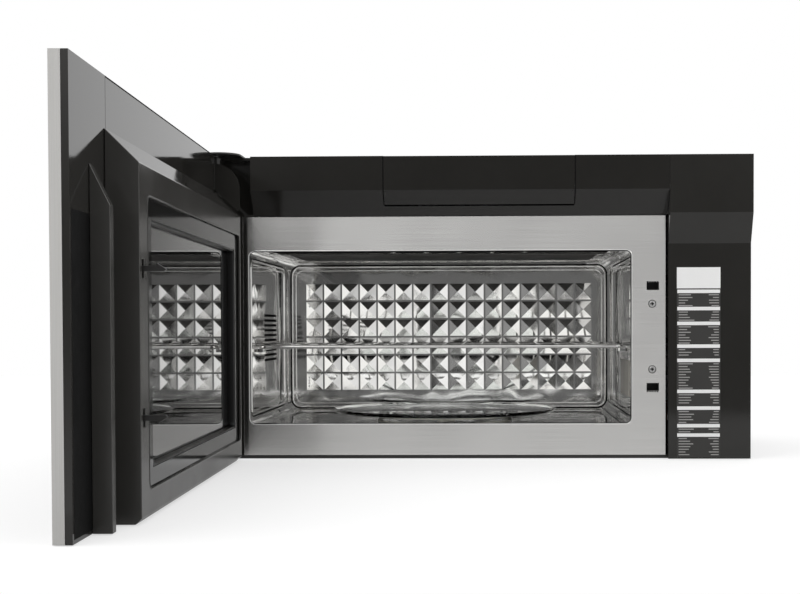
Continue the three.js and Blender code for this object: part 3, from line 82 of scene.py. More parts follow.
def makeCamera():
    # forward from yaw and pitch, right level with the floor, then both turned by the roll
    yaw, pitch, roll = stand["yaw"], stand["pitch"], stand["roll"]
    forward = Vector((-math.sin(yaw) * math.cos(pitch), math.cos(yaw) * math.cos(pitch), math.sin(pitch)))
    level = Vector((math.cos(yaw), math.sin(yaw), 0.0))
    up = level.cross(forward)
    right = level * math.cos(roll) + up * math.sin(roll)
    up = up * math.cos(roll) - level * math.sin(roll)
    data = bpy.data.cameras.new("studioCamera")
    data.sensor_width = photo["sensor"]
    data.lens = photo["sensor"] * photo["focal"] / photo["width"]
    data.shift_x = (photo["width"] / 2 - photo["centreX"]) / photo["width"]
    data.shift_y = (photo["centreY"] - photo["height"] / 2) / photo["width"]
    camera = bpy.data.objects.new("studioCamera", data)
    turn = Matrix((right, up, -forward)).transposed().to_4x4()
    camera.matrix_world = Matrix.Translation(Vector(toMetres(stand["place"]))) @ turn
    bpy.context.collection.objects.link(camera)
    bpy.context.scene.camera = camera


def linear(hexColor):
    # sRGB hex to linear light: divided by 12.92 in the darkest tones, and a power of 2.4 above them
    parts = [int(hexColor[i:i + 2], 16) / 255 for i in (1, 3, 5)]
    return tuple(p / 12.92 if p <= 0.04045 else ((p + 0.055) / 1.055) ** 2.4 for p in parts) + (1.0,)


def addNode(tree, kind, settings=None, inputs=None):
    # one node with its settings: each input, by name or place, is linked to a socket or given a value
    made = tree.nodes.new(kind)
    for name, value in (settings or {}).items():
        setattr(made, name, value)
    for name, value in (inputs or {}).items():
        if isinstance(value, bpy.types.NodeSocket):
            tree.links.new(value, made.inputs[name])
        else:
            made.inputs[name].default_value = value
    return made


# The studio, in metres: paper floor, two lamps, and a white room whose dark parts the oven mirrors.
studio = {
    "floorColor": "#b8b8b8", "floorGlow": 0.55,        # paper grey, and how much white the eye sees on top
    "floorEdges": (-3.0, 3.0, -1.15, 3.0), "floorDrop": 0.0006, "floorRoughness": 0.9,
    "paperDark": -0.35, "paperWhite": 0.1,             # mirrored, the paper turns white between these Y
    "paperLow": 0.34,                                  # and has this much of its white in front of them
    "dark": 0.12, "bright": 1.0,                       # the room's dark parts, and the rest of it
    # a low band and a tall board beside it: middle and half size, as directions across and up
    "darkParts": [((0.05, 0.33), (0.04, 0.14)), ((0.2, 0.05), (0.0, 0.7))],
    "fadeStart": 0.7, "fadeEnd": 1.5,                  # where they fade out, in their own half sizes
    "keyPower": 15.0, "keyPlace": (-1.4, -1.6, 2.6), "keySize": (1.6, 1.2),
    "fillPower": 11.0, "fillPlace": (2.2, -1.2, 1.8), "fillSize": (1.2, 1.2),
    "lampTarget": (0.0, 0.0, 0.2),
}


def makeFloor():
    # white paper under the oven: seen directly, mirrored or through glass it glows, and it keeps the shadow
    left, right, front, back = studio["floorEdges"]
    mesh = bpy.data.meshes.new("studioFloor")
    corners = [(left, front, 0), (right, front, 0), (right, back, 0), (left, back, 0)]
    mesh.from_pydata(corners, [], [(0, 1, 2, 3)])
    floor = bpy.data.objects.new("studioFloor", mesh)
    bpy.context.collection.objects.link(floor)
    floor.location.z = -studio["floorDrop"]
    material, tree, shader = startMaterial("whitePaper", {
        "Base Color": linear(studio["floorColor"]), "Roughness": studio["floorRoughness"],
        "Specular IOR Level": 0.0, "Emission Color": (1, 1, 1, 1)})
    rays = addNode(tree, "ShaderNodeLightPath")
    place = addNode(tree, "ShaderNodeSeparateXYZ", inputs={
        "Vector": addNode(tree, "ShaderNodeNewGeometry").outputs["Position"]})
    white = addNode(tree, "ShaderNodeMapRange", {"interpolation_type": "SMOOTHSTEP"}, {
        "Value": place.outputs["Y"], "From Min": studio["paperDark"], "From Max": studio["paperWhite"],
        "To Min": studio["paperLow"]})
    gloss = addNode(tree, "ShaderNodeMath", {"operation": "MULTIPLY"}, {
        0: rays.outputs["Is Glossy Ray"], 1: white.outputs[0]})
    mirrored = addNode(tree, "ShaderNodeMath", {"operation": "MAXIMUM"}, {
        0: gloss.outputs[0], 1: rays.outputs["Is Transmission Ray"]})
    seen = addNode(tree, "ShaderNodeMath", {"operation": "MAXIMUM"}, {
        0: rays.outputs["Is Camera Ray"], 1: mirrored.outputs[0]})
    glow = addNode(tree, "ShaderNodeMath", {"operation": "MULTIPLY"}, {
        0: seen.outputs[0], 1: studio["floorGlow"]})
    tree.links.new(glow.outputs[0], shader.inputs["Emission Strength"])
    mesh.materials.append(material)


def makeLamp(name, place, size, power):
    # a flat lamp turned so that it shines along the line from its place to the target
    data = bpy.data.lights.new(name, "AREA")
    data.shape = "RECTANGLE"
    data.size, data.size_y = size
    data.energy = power
    lamp = bpy.data.objects.new(name, data)
    lamp.location = place
    aim = Vector(studio["lampTarget"]) - Vector(place)
    lamp.rotation_euler = aim.to_track_quat("-Z", "Y").to_euler()
    bpy.context.collection.objects.link(lamp)


def makeWorld():
    # a room that is white to the eye; what is mirrored darkens with the distance from each dark part's middle
    world = bpy.data.worlds.new("studioRoom")
    bpy.context.scene.world = world
    world.use_nodes = True
    tree = world.node_tree
    tree.nodes.clear()
    direction = addNode(tree, "ShaderNodeTexCoord").outputs["Generated"]
    axes = addNode(tree, "ShaderNodeSeparateXYZ", inputs={"Vector": direction})
    behind = addNode(tree, "ShaderNodeMath", {"operation": "LESS_THAN"}, {0: axes.outputs["Y"], 1: 0.0})
    level = None
    for (midX, halfX), (midZ, halfZ) in studio["darkParts"]:
        scaled = addNode(tree, "ShaderNodeMapping", inputs={
            "Vector": direction, "Location": (-midX / halfX, 0, -midZ / halfZ),
            "Scale": (1 / halfX, 0, 1 / halfZ)})
        away = addNode(tree, "ShaderNodeVectorMath", {"operation": "LENGTH"}, {0: scaled.outputs[0]})
        edge = addNode(tree, "ShaderNodeMapRange", {"interpolation_type": "SMOOTHSTEP"}, {
            "Value": away.outputs["Value"], "From Min": studio["fadeStart"], "From Max": studio["fadeEnd"],
            "To Min": studio["dark"], "To Max": studio["bright"]})
        part = addNode(tree, "ShaderNodeMix", {"data_type": "FLOAT"}, {
            "Factor": behind.outputs[0], "A": studio["bright"], "B": edge.outputs[0]})
        if level is None:
            level = part
        else:
            level = addNode(tree, "ShaderNodeMath", {"operation": "MINIMUM"}, {
                0: level.outputs[0], 1: part.outputs[0]})
    rays = addNode(tree, "ShaderNodeLightPath")
    shown = addNode(tree, "ShaderNodeMix", {"data_type": "FLOAT"}, {
        "Factor": rays.outputs["Is Camera Ray"], "A": level.outputs[0], "B": 1.0})
    background = addNode(tree, "ShaderNodeBackground", inputs={
        "Color": (1, 1, 1, 1), "Strength": shown.outputs[0]})
    output = addNode(tree, "ShaderNodeOutputWorld")
    tree.links.new(background.outputs[0], output.inputs["Surface"])


def startMaterial(name, values):
    # a material with its main shader's sockets set
    material = bpy.data.materials.new(name)
    material.use_nodes = True
    shader = material.node_tree.nodes["Principled BSDF"]
    for socket, value in values.items():
        shader.inputs[socket].default_value = value
    return material, material.node_tree, shader


makeCamera()
makeFloor()
makeWorld()
makeLamp("keyLamp", studio["keyPlace"], studio["keySize"], studio["keyPower"])
makeLamp("fillLamp", studio["fillPlace"], studio["fillSize"], studio["fillPower"])
bpy.context.scene.view_settings.view_transform = "Standard"
print("camera and studio ready")


# Materials. Patterns are in cycles per metre, so 1000 over the cycles is their size in millimetres.
# No roughness passes through 0.274: there the denoiser stops taking a face for a mirror and draws a line.

def addPattern(tree, cycles, low, high, detail=3.0, contrast=(0.3, 0.7), shift=(0, 0, 0)):
    # noise on the piece's own coordinates, with cycles along each axis, spread smoothly from low to high
    coords = addNode(tree, "ShaderNodeTexCoord").outputs["Object"]
    scaled = addNode(tree, "ShaderNodeMapping", inputs={"Vector": coords, "Scale": cycles, "Location": shift})
    noise = addNode(tree, "ShaderNodeTexNoise", inputs={
        "Vector": scaled.outputs[0], "Scale": 1.0, "Detail": detail, "Roughness": 0.6})
    return addNode(tree, "ShaderNodeMapRange", {"interpolation_type": "SMOOTHSTEP"}, {
        "Value": noise.outputs["Fac"], "From Min": contrast[0], "From Max": contrast[1],
        "To Min": low, "To Max": high}).outputs[0]


def addTint(tree, shader, factor, dark, light):
    # the colour goes from dark to light as the factor goes from 0 to 1
    tint = addNode(tree, "ShaderNodeMix", {"data_type": "RGBA"}, {"Factor": factor})
    tint.inputs["A"].default_value = linear(dark)
    tint.inputs["B"].default_value = linear(light)
    tree.links.new(tint.outputs["Result"], shader.inputs["Base Color"])


def addRelief(tree, shader, height, strength, distance):
    # the light falls as on a skin that rises by the distance, in metres, as the height goes from 0 to 1
    relief = addNode(tree, "ShaderNodeBump", inputs={
        "Height": height, "Strength": strength, "Distance": distance})
    tree.links.new(relief.outputs["Normal"], shader.inputs["Normal"])


def makeBrushedStainless(name, along, cycles, dark="#dfdedc", light="#e9e8e6", rough=(0.21, 0.265)):
    # stainless steel sheet, belt brushed: what it mirrors is smeared across the brushing, over faint streaks
    # real streaks are about 0.1 mm apart, drawn at about 0.7 mm so that they show
    material, tree, shader = startMaterial(name, {"Metallic": 1.0, "Anisotropic": 1.0})
    streak = addPattern(tree, cycles, 0.0, 1.0, detail=4.0)
    cloud = addPattern(tree, (5, 5, 5), rough[0], rough[1], detail=2.0)
    addTint(tree, shader, streak, dark, light)
    tree.links.new(cloud, shader.inputs["Roughness"])
    smear = addNode(tree, "ShaderNodeVectorTransform", {
        "vector_type": "VECTOR", "convert_from": "OBJECT", "convert_to": "WORLD"}, {"Vector": along})
    tree.links.new(smear.outputs[0], shader.inputs["Tangent"])
    return material


def makePolishedStainless():
    # deep drawn and polished stainless: a mirror with waves about 60 mm long from the drawing
    material, tree, shader = startMaterial("polishedStainless", {"Metallic": 1.0})
    wave = addPattern(tree, (16, 16, 16), 0.0, 1.0, detail=1.0, contrast=(0.2, 0.8))
    smear = addPattern(tree, (45, 45, 45), 0.045, 0.1, detail=3.0)
    addTint(tree, shader, wave, "#f4f3f1", "#fafaf8")
    tree.links.new(smear, shader.inputs["Roughness"])
    addRelief(tree, shader, wave, 0.4, 0.0012)
    return material


def makePlastic(name, dark, light, rough, grainCycles=900.0, grainDepth=0.00002, specular=0.5, index=1.53):
    # an even moulded or sprayed skin with a fine orange peel, and handling marks 70 mm wide in its gloss
    material, tree, shader = startMaterial(name, {"IOR": index, "Specular IOR Level": specular})
    cloud = addPattern(tree, (9, 9, 9), 0.0, 1.0, detail=4.0)
    smudge = addPattern(tree, (14, 14, 14), rough[0], rough[1], detail=5.0, shift=(3, 1, 2))
    peel = addPattern(tree, (grainCycles,) * 3, 0.0, 1.0, detail=1.0)
    addTint(tree, shader, cloud, dark, light)
    tree.links.new(smudge, shader.inputs["Roughness"])
    addRelief(tree, shader, peel, 0.15, grainDepth)
    return material


def makeTexturedAbs():
    # the door's moulding: spark-textured matt faces, with chamfers left polished that mirror sharply
    # roughness falls as a face turns upwards
    material, tree, shader = startMaterial("moduleBlackAbs", {"IOR": 1.5})
    facing = addNode(tree, "ShaderNodeSeparateXYZ", inputs={
        "Vector": addNode(tree, "ShaderNodeNewGeometry").outputs["True Normal"]})
    rough = addNode(tree, "ShaderNodeMapRange", inputs={
        "Value": facing.outputs["Z"], "From Min": 0.2, "From Max": 0.5, "To Min": 0.235, "To Max": 0.05})
    smudge = addPattern(tree, (14, 14, 14), -0.03, 0.03, detail=5.0)
    total = addNode(tree, "ShaderNodeMath", {"operation": "ADD"}, {0: rough.outputs[0], 1: smudge})
    tree.links.new(total.outputs[0], shader.inputs["Roughness"])
    addTint(tree, shader, addPattern(tree, (9, 9, 9), 0.0, 1.0, detail=4.0), "#343331", "#383735")
    addRelief(tree, shader, addPattern(tree, (900, 900, 900), 0.0, 1.0, detail=1.0), 0.1, 0.00001)
    return material


def makeMetal(name, dark, light, rough, cycles=(40, 40, 40), bump=0.0):
    # plated, milled or varnished metal: cloudy tone and uneven polish
    material, tree, shader = startMaterial(name, {"Metallic": 1.0})
    cloud = addPattern(tree, cycles, 0.0, 1.0, detail=5.0)
    smear = addPattern(tree, (90, 90, 90), rough[0], rough[1], detail=4.0)
    addTint(tree, shader, cloud, dark, light)
    tree.links.new(smear, shader.inputs["Roughness"])
    if bump:
        addRelief(tree, shader, cloud, bump, 0.0003)
    return material


def makeSpangledZinc(name, ribs=0.0):
    # hot-dip galvanised sheet: flat crystals 8 mm wide, each with its own grey, and pressed ribs if asked
    material, tree, shader = startMaterial(name, {"Metallic": 1.0})
    coords = addNode(tree, "ShaderNodeTexCoord").outputs["Object"]
    crystals = addNode(tree, "ShaderNodeTexVoronoi", inputs={
        "Vector": coords, "Scale": 125.0, "Randomness": 1.0})
    shade = addNode(tree, "ShaderNodeSeparateColor", inputs={"Color": crystals.outputs["Color"]})
    addTint(tree, shader, shade.outputs[0], "#8f9294", "#bfc2c4")
    rough = addNode(tree, "ShaderNodeMapRange", inputs={
        "Value": shade.outputs[1], "To Min": 0.3, "To Max": 0.5})
    tree.links.new(rough.outputs[0], shader.inputs["Roughness"])
    if ribs:
        # sine of the height over the rib distance, kept to its upper part so that flat land lies between ribs
        height = addNode(tree, "ShaderNodeSeparateXYZ", inputs={"Vector": coords})
        angle = addNode(tree, "ShaderNodeMath", {"operation": "MULTIPLY"}, {
            0: height.outputs["Z"], 1: 2 * math.pi / ribs})
        wave = addNode(tree, "ShaderNodeMath", {"operation": "SINE"}, {0: angle.outputs[0]})
        land = addNode(tree, "ShaderNodeMapRange", {"interpolation_type": "SMOOTHSTEP"}, {
            "Value": wave.outputs[0], "From Min": 0.6, "From Max": 0.95})
        addRelief(tree, shader, land.outputs[0], 1.0, 0.003)
    return material


def makeScreenedGlass():
    # glass over a perforated steel screen: holes of 1.2 mm on a 2 mm pitch under a clear glossy face
    # the four faces of its two panes mirror together, drawn as two faces of a higher index
    material, tree, shader = startMaterial("screenedWindowGlass", {
        "Roughness": 0.03, "IOR": 1.85, "Coat Weight": 1.0, "Coat Roughness": 0.0, "Coat IOR": 1.85})
    coords = addNode(tree, "ShaderNodeTexCoord").outputs["Object"]
    cells = addNode(tree, "ShaderNodeTexVoronoi", {"feature": "F1"}, {
        "Vector": coords, "Scale": 500.0, "Randomness": 0.0})
    hole = addNode(tree, "ShaderNodeMapRange", inputs={
        "Value": cells.outputs["Distance"], "From Min": 0.27, "From Max": 0.36, "To Min": 0.0, "To Max": 1.0})
    addTint(tree, shader, hole.outputs[0], "#050505", "#151413")
    return material


def makeSmokedGlass(name, tone):
    # dark float glass: almost black behind a sharp mirror
    material, tree, shader = startMaterial(name, {"IOR": 1.52, "Coat Weight": 0.6, "Coat Roughness": 0.0})
    film = addPattern(tree, (11, 11, 11), 0.02, 0.05, detail=4.0)
    cloud = addPattern(tree, (5, 5, 5), 0.0, 1.0)
    addTint(tree, shader, cloud, tone, "#0b0b0c")
    tree.links.new(film, shader.inputs["Roughness"])
    return material


def makeClearGlass():
    # pressed soda-lime glass: clear, almost without a tint, with a slow ripple from its mould
    material, tree, shader = startMaterial("pressedClearGlass", {
        "Transmission Weight": 1.0, "IOR": 1.5, "Base Color": linear("#f4f6f5")})
    ripple = addPattern(tree, (70, 70, 70), 0.0, 1.0, detail=1.0)
    film = addPattern(tree, (20, 20, 20), 0.0, 0.06)
    tree.links.new(film, shader.inputs["Roughness"])
    addRelief(tree, shader, ripple, 0.1, 0.0006)
    return material


def makeAluminiumMesh():
    # layered expanded aluminium: diamond strands 3 to 5 mm apart, with painted shade in the openings between
    # them
    material, tree, shader = startMaterial("aluminiumMesh", {"Metallic": 1.0, "Roughness": 0.42})
    coords = addNode(tree, "ShaderNodeTexCoord").outputs["Object"]
    turned = addNode(tree, "ShaderNodeMapping", inputs={
        "Vector": coords, "Scale": (330, 200, 200), "Rotation": (0, 0, math.radians(45))})
    cells = addNode(tree, "ShaderNodeTexVoronoi", {"feature": "DISTANCE_TO_EDGE"}, {
        "Vector": turned.outputs[0], "Scale": 1.0, "Randomness": 0.25})
    strand = addNode(tree, "ShaderNodeMapRange", inputs={
        "Value": cells.outputs["Distance"], "From Min": 0.05, "From Max": 0.22, "To Min": 1.0, "To Max": 0.0})
    addTint(tree, shader, strand.outputs[0], "#2f3031", "#c2c4c5")
    addRelief(tree, shader, strand.outputs[0], 0.8, 0.0008)
    return material


def makeCharcoal():
    # activated carbon granules in a net, each about 2.5 mm: dull, with painted shade in the gaps between them
    material, tree, shader = startMaterial("charcoalGranules", {"Roughness": 0.85, "IOR": 1.5})
    coords = addNode(tree, "ShaderNodeTexCoord").outputs["Object"]
    grains = addNode(tree, "ShaderNodeTexVoronoi", inputs={"Vector": coords, "Scale": 400.0})
    addTint(tree, shader, grains.outputs["Distance"], "#34322f", "#131211")
    addRelief(tree, shader, grains.outputs["Distance"], 0.7, 0.001)
    return material


def makeBoard():
    # fibreglass board: green lacquer in cells about 15 mm wide and 2.5 mm high, with copper tracks between
    material, tree, shader = startMaterial("greenCircuitBoard", {"Roughness": 0.35, "IOR": 1.5})
    coords = addNode(tree, "ShaderNodeTexCoord").outputs["Object"]
    upright = addNode(tree, "ShaderNodeMapping", inputs={
        "Vector": coords, "Rotation": (math.radians(90), 0, 0)})
    tracks = addNode(tree, "ShaderNodeTexBrick", inputs={
        "Vector": upright.outputs[0], "Color1": linear("#1f4a30"), "Color2": linear("#26563a"),
        "Mortar": linear("#4e7f4c"), "Scale": 60.0, "Mortar Size": 0.06, "Brick Width": 0.9,
        "Row Height": 0.15})
    tree.links.new(tracks.outputs["Color"], shader.inputs["Base Color"])
    return material


# stainless: a soft grey sheen on the frame and the door's skin, and a bright mirror in the cavity
brushedStainless = makeBrushedStainless("brushedStainless", upwards, (6, 6, 1400))
doorEdgeStainless = makeBrushedStainless("doorEdgeStainless", upwards, (1400, 1400, 6), "#bdbcb9", "#c4c3c1",
                                         (0.285, 0.34))
polishedStainless = makePolishedStainless()
# moulded ABS: gloss covers that mirror the room, and satin or textured ones that stay black
glossBlackAbs = makePlastic("glossBlackAbs", "#242321", "#272624", (0.04, 0.09), index=1.45)
panelBlackAbs = makePlastic("panelBlackAbs", "#282725", "#2b2a28", (0.06, 0.12), index=1.46)
satinBlackAbs = makePlastic("satinBlackAbs", "#161514", "#1b1a19", (0.3, 0.42), 1500.0, 0.00006)
moduleBlackAbs = makeTexturedAbs()
# enamel and powder paint on steel sheet
blackEnamel = makePlastic("blackEnamel", "#0d0d0d", "#131312", (0.06, 0.1))
paintedSteel = makePlastic("powderCoatedSteel", "#1f1e1d", "#22211f", (0.46, 0.5), 700.0, 0.0001)
ceilingEnamel = makePlastic("greyCeilingEnamel", "#5a5957", "#6a6967", (0.6, 0.75), 500.0, 0.0001, 0.3)
# painted shade: the dark enamel of the ceiling's front band stands for the shade there
ceilingShadeEnamel = makePlastic("paintedCeilingShade", "#121211", "#1b1a1a", (0.75, 0.9), 500.0, 0.0001, 0.05)
# plated, turned and blackened steel, zinc, aluminium and the transformer's laminations
chromedWire = makeMetal("chromedWire", "#d0cfcc", "#e4e3e1", (0.02, 0.07))
brightSteel = makeMetal("turnedSteel", "#a9a9a8", "#cfcfce", (0.15, 0.26))
blackMotorSteel = makePlastic("blackMotorSteel", "#161616", "#20201f", (0.3, 0.5))
galvanisedSheet = makeSpangledZinc("galvanisedSheet")
ribbedSheet = makeSpangledZinc("ribbedGalvanisedSheet", 0.07)
aluminiumSheet = makeMetal("aluminiumSheet", "#a9abac", "#c3c5c6", (0.3, 0.45), (30, 300, 30))
aluminiumMesh = makeAluminiumMesh()
transformerIron = makeMetal("varnishedIron", "#5a3524", "#7c4a30", (0.35, 0.55), (20, 20, 900), 0.4)
# nylon, pressed mica with flakes about 6 mm wide, and the label's printed films
whiteNylon = makePlastic("whiteNylon", "#cfccc2", "#dedbd2", (0.35, 0.5))
micaSheet = makePlastic("micaSheet", "#b2afa8", "#cfcbc3", (0.35, 0.6), 160.0, 0.0003)
whiteFilm = makePlastic("whiteLabelFilm", "#f6f6f5", "#fbfbfa", (0.35, 0.45), 400.0)
darkFilm = makePlastic("darkLabelFilm", "#2b2a29", "#302f2d", (0.4, 0.5), 400.0)
ruledFilm = makePlastic("ruledLabelFilm", "#a3a2a0", "#b0afad", (0.4, 0.5), 400.0)
# painted shade, near black, on slabs and strips where folds of sheet, holes, seams and recesses lie in
# shadow; and black rubber
creaseShade = makePlastic("creaseShade", "#080808", "#121211", (0.6, 0.8), 300.0, specular=0.1)
paintedShade = makePlastic("paintedShade", "#060606", "#0b0b0b", (0.7, 0.9), specular=0.1)
sealRubber = makePlastic("sealRubber", "#0b0b0c", "#111112", (0.28, 0.35), specular=0.4)
windowGlass = makeScreenedGlass()
touchGlass = makeSmokedGlass("touchGlass", "#060607")
clearGlass = makeClearGlass()
charcoal = makeCharcoal()
circuitBoard = makeBoard()

madeOf = [
    (paintedSteel, ["cabinet_shell", "base_plate"]),
    (ribbedSheet, ["rear_panel"]),
    (brushedStainless, ["front_frame"]),
    (doorEdgeStainless, ["door_shell"]),
    (polishedStainless, ["oven_cavity", "rack_support_left", "rack_support_right"]),
    (glossBlackAbs, ["front_bezel", "filter_flap", "door_inner_panel"]),
    (panelBlackAbs, ["right_panel"]),
    (moduleBlackAbs, ["finger_bar", "door_liner"]),
    (satinBlackAbs, ["latch_bracket", "door_switch_upper", "door_switch_lower", "cooling_fan_housing",
                     "cord_grommet", "latch_hook_upper", "latch_hook_lower"]),
    (blackEnamel, ["choke_frame"]),
    (chromedWire, ["wire_rack"]),
    (brightSteel, ["upper_hinge_pin", "lower_hinge_pin", "latch_spring_upper", "latch_spring_lower"]),
    (blackMotorSteel, ["upper_hinge_bracket", "blower_motor", "convection_heater", "convection_motor"]),
    (galvanisedSheet, ["lower_hinge_bracket", "waveguide", "magnetron", "cooling_fan_motor", "blower_housing",
                       "convection_housing", "turntable_motor", "blower_wheel_left", "blower_wheel_right"]),
    (aluminiumSheet, ["capacitor", "cooktop_lamp", "convection_fan"]),
    (aluminiumMesh, ["grease_filter_left", "grease_filter_right"]),
    (transformerIron, ["transformer"]),
    (whiteNylon, ["cavity_lamp", "cooling_fan_blade", "drive_coupler", "roller_ring", "roller_1", "roller_2",
                  "roller_3"]),
    (micaSheet, ["waveguide_cover"]),
    (windowGlass, ["inner_glass"]),
    (touchGlass, ["door_glass"]),
    (clearGlass, ["lamp_lens", "glass_turntable"]),
    (charcoal, ["charcoal_filter"]),
    (circuitBoard, ["control_board"]),
]
finishes = {name: material for material, members in madeOf for name in members}
for name, material in finishes.items():
    for place in nodes[name].material_slots:
        place.material = material
print("materials on", len(finishes), "nodes")


# Pieces. The frame's record says which body a node is on.
bodyOf = {node: body for body, members in frame["record"]["behaviour"]["bodies"].items() for node in members}


def addPiece(name, mesh, material, body):
    # an object at the origin with one material, riding its body
    piece = bpy.data.objects.new(name, mesh)
    bpy.context.collection.objects.link(piece)
    mesh.materials.clear()
    mesh.materials.append(material)
    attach(piece, body)
    return piece


# radius of the rounded edges, for each node that is drawn anew
edgeRadius = {
    "front_bezel": 0.6, "filter_flap": 0.5, "right_panel": 0.7, "door_inner_panel": 0.5, "door_liner": 0.8,
    "finger_bar": 0.7, "front_frame": 0.3, "latch_hook_upper": 0.4, "latch_hook_lower": 0.4,
    "upper_hinge_bracket": 0.4, "lower_hinge_bracket": 0.3, "cabinet_shell": 0.3, "choke_frame": 0.4,
    "rack_support_left": 0.5, "rack_support_right": 0.5, "roller_ring": 0.4, "cord_grommet": 0.4,
    "grease_filter_left": 0.6, "grease_filter_right": 0.6, "lamp_lens": 0.4, "drive_coupler": 0.3,
    "roller_1": 0.4, "roller_2": 0.4, "roller_3": 0.4,
}
# the angle in degrees from which an edge is rounded: less where shallow creases have to stay crisp
creaseAngle = {"right_panel": 12.0, "front_bezel": 12.0, "filter_flap": 12.0, "door_liner": 12.0,
               "front_frame": 12.0, "finger_bar": 12.0, "door_inner_panel": 16.0, "other": 30.0}
mending = {"merge": 1e-6, "flat": 0.5, "segments": 2}   # metres, degrees, and rows on a rounded edge


def roundEdges(node, radius):
    # a copy of the node's own solid, merged, without lines on its flat faces, and with its edges rounded
    mesh = nodes[node].data.copy()
    mesh.name = node + "_body"
    shape = bmesh.new()
    shape.from_mesh(mesh)
    bmesh.ops.remove_doubles(shape, verts=shape.verts, dist=mending["merge"])
    flat = math.radians(mending["flat"])
    bmesh.ops.dissolve_limit(shape, angle_limit=flat, verts=shape.verts, edges=shape.edges)
    shape.to_mesh(mesh)
    shape.free()
    for name in [item.name for item in mesh.attributes if item.name == "custom_normal"]:
        mesh.attributes.remove(mesh.attributes[name])
    mesh.shade_smooth()
    piece = addPiece(node + "_body", mesh, finishes[node], bodyOf[node])
    bevel = piece.modifiers.new("roundedEdges", "BEVEL")
    bevel.width = radius * millimetre
    bevel.segments = mending["segments"]
    bevel.limit_method = "ANGLE"
    bevel.angle_limit = math.radians(creaseAngle.get(node, creaseAngle["other"]))
    bevel.use_clamp_overlap = True
    bevel.harden_normals = True
    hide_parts(node)


for name, radius in edgeRadius.items():
    roundEdges(name, radius)
print("edges rounded on", len(edgeRadius), "pieces")


def gridFaces(rows, columns, closeRows=False, closeColumns=False):
    # four-sided faces between neighbouring points of a grid, joined round where it closes
    row = np.arange(rows if closeRows else rows - 1)[:, None]
    column = np.arange(columns if closeColumns else columns - 1)[None, :]
    nextRow, nextColumn = (row + 1) % rows, (column + 1) % columns
    corners = [row * columns + column, row * columns + nextColumn,
               nextRow * columns + nextColumn, nextRow * columns + column]
    return np.stack(np.broadcast_arrays(*corners), -1).reshape(-1, 4)


def repeatShape(points, faces, places):
    # the same shape moved to each place, with its faces counted on by its number of points
    places = np.asarray(places, float)
    moved = (points[None] + places[:, None]).reshape(-1, 3)
    count = np.arange(len(places))[:, None, None] * len(points)
    return moved, (faces[None] + count).reshape(-1, faces.shape[1])


def joinShapes(shapes):
    # all points one after the other, and each shape's faces counted on from where its points start
    points, faces, start = [], [], 0
    for somePoints, someFaces in shapes:
        points.append(somePoints)
        faces += (someFaces + start).tolist()
        start += len(somePoints)
    return np.concatenate(points), faces


def addSurface(name, shapes, material, body="cabinet", smooth=True):
    # a new piece from shapes in millimetres: doubles merged, faces turned outwards
    # what rides the door is drawn for the closed door and turned with it
    points, faces = joinShapes(shapes)
    if body == "door":
        points = openDoor(points)
    mesh = bpy.data.meshes.new(name)
    mesh.from_pydata(toMetres(points).tolist(), [], faces)
    shape = bmesh.new()
    shape.from_mesh(mesh)
    bmesh.ops.remove_doubles(shape, verts=shape.verts, dist=mending["merge"])
    bmesh.ops.recalc_face_normals(shape, faces=shape.faces)
    shape.to_mesh(mesh)
    shape.free()
    if smooth:
        mesh.shade_smooth()
    return addPiece(name, mesh, material, body)


def slabs(boxes):
    # flat blocks from their low and high corners
    boxes = np.asarray(boxes, float)
    pick = np.array([[0, 0, 0], [1, 0, 0], [1, 1, 0], [0, 1, 0], [0, 0, 1], [1, 0, 1], [1, 1, 1], [0, 1, 1]])
    low, high = boxes[:, None, :3], boxes[:, None, 3:]
    points = (low + (high - low) * pick[None]).reshape(-1, 3)
    sides = np.array([[0, 3, 2, 1], [4, 5, 6, 7], [0, 1, 5, 4], [1, 2, 6, 5], [2, 3, 7, 6], [3, 0, 4, 7]])
    return points, (sides[None] + np.arange(len(boxes))[:, None, None] * len(pick)).reshape(-1, 4)


def around(sides):
    # equal steps of angle round a full turn
    return np.arange(sides) * 2 * math.pi / sides


def circleLoop(radius, sides):
    # radius times cosine and sine
    return np.stack([radius * np.cos(around(sides)), radius * np.sin(around(sides))], -1)


def insetLoop(edges, inset, radius, axis, level, steps=8):
    # a rectangle drawn in from its edges, with corners as quarter circles, on a plane across one axis
    left, right, low, high = edges[0] + inset, edges[1] - inset, edges[2] + inset, edges[3] - inset
    turn = np.linspace(0, math.pi / 2, steps)
    corners = [(right - radius, high - radius, 0), (left + radius, high - radius, 1),
               (left + radius, low + radius, 2), (right - radius, low + radius, 3)]
    loop = np.concatenate([np.stack([a + radius * np.cos(turn + k * math.pi / 2),
                                     b + radius * np.sin(turn + k * math.pi / 2)], -1)
                           for a, b, k in corners])
    return np.insert(loop, axis, level, axis=1)


def carryRound(path, profile, normal):
    # a closed profile (sideways, outwards) carried round a closed path, sideways being path x normal
    ahead = np.roll(path, -1, axis=0) - np.roll(path, 1, axis=0)
    ahead /= np.linalg.norm(ahead, axis=1, keepdims=True)
    side = np.cross(ahead, normal)
    outwards = np.asarray(normal, float) * profile[None, :, 1:]
    points = path[:, None] + side[:, None] * profile[None, :, :1] + outwards
    return points.reshape(-1, 3), gridFaces(len(path), len(profile), True, True)


def humpProfile(width, height, sunk=0.15, steps=9):
    # half an ellipse standing on a base that is sunk a little
    turn = np.linspace(0, math.pi, steps)
    top = np.stack([width / 2 * np.cos(turn), height * np.sin(turn)], -1)
    return np.concatenate([top, [(-width / 2, -sunk), (width / 2, -sunk)]])


def turnTo(points, normal):
    # points drawn with z outwards, turned so that outwards is the normal
    turn = np.array(Vector(normal).to_track_quat("Z", "Y").to_matrix())
    return points @ turn.T


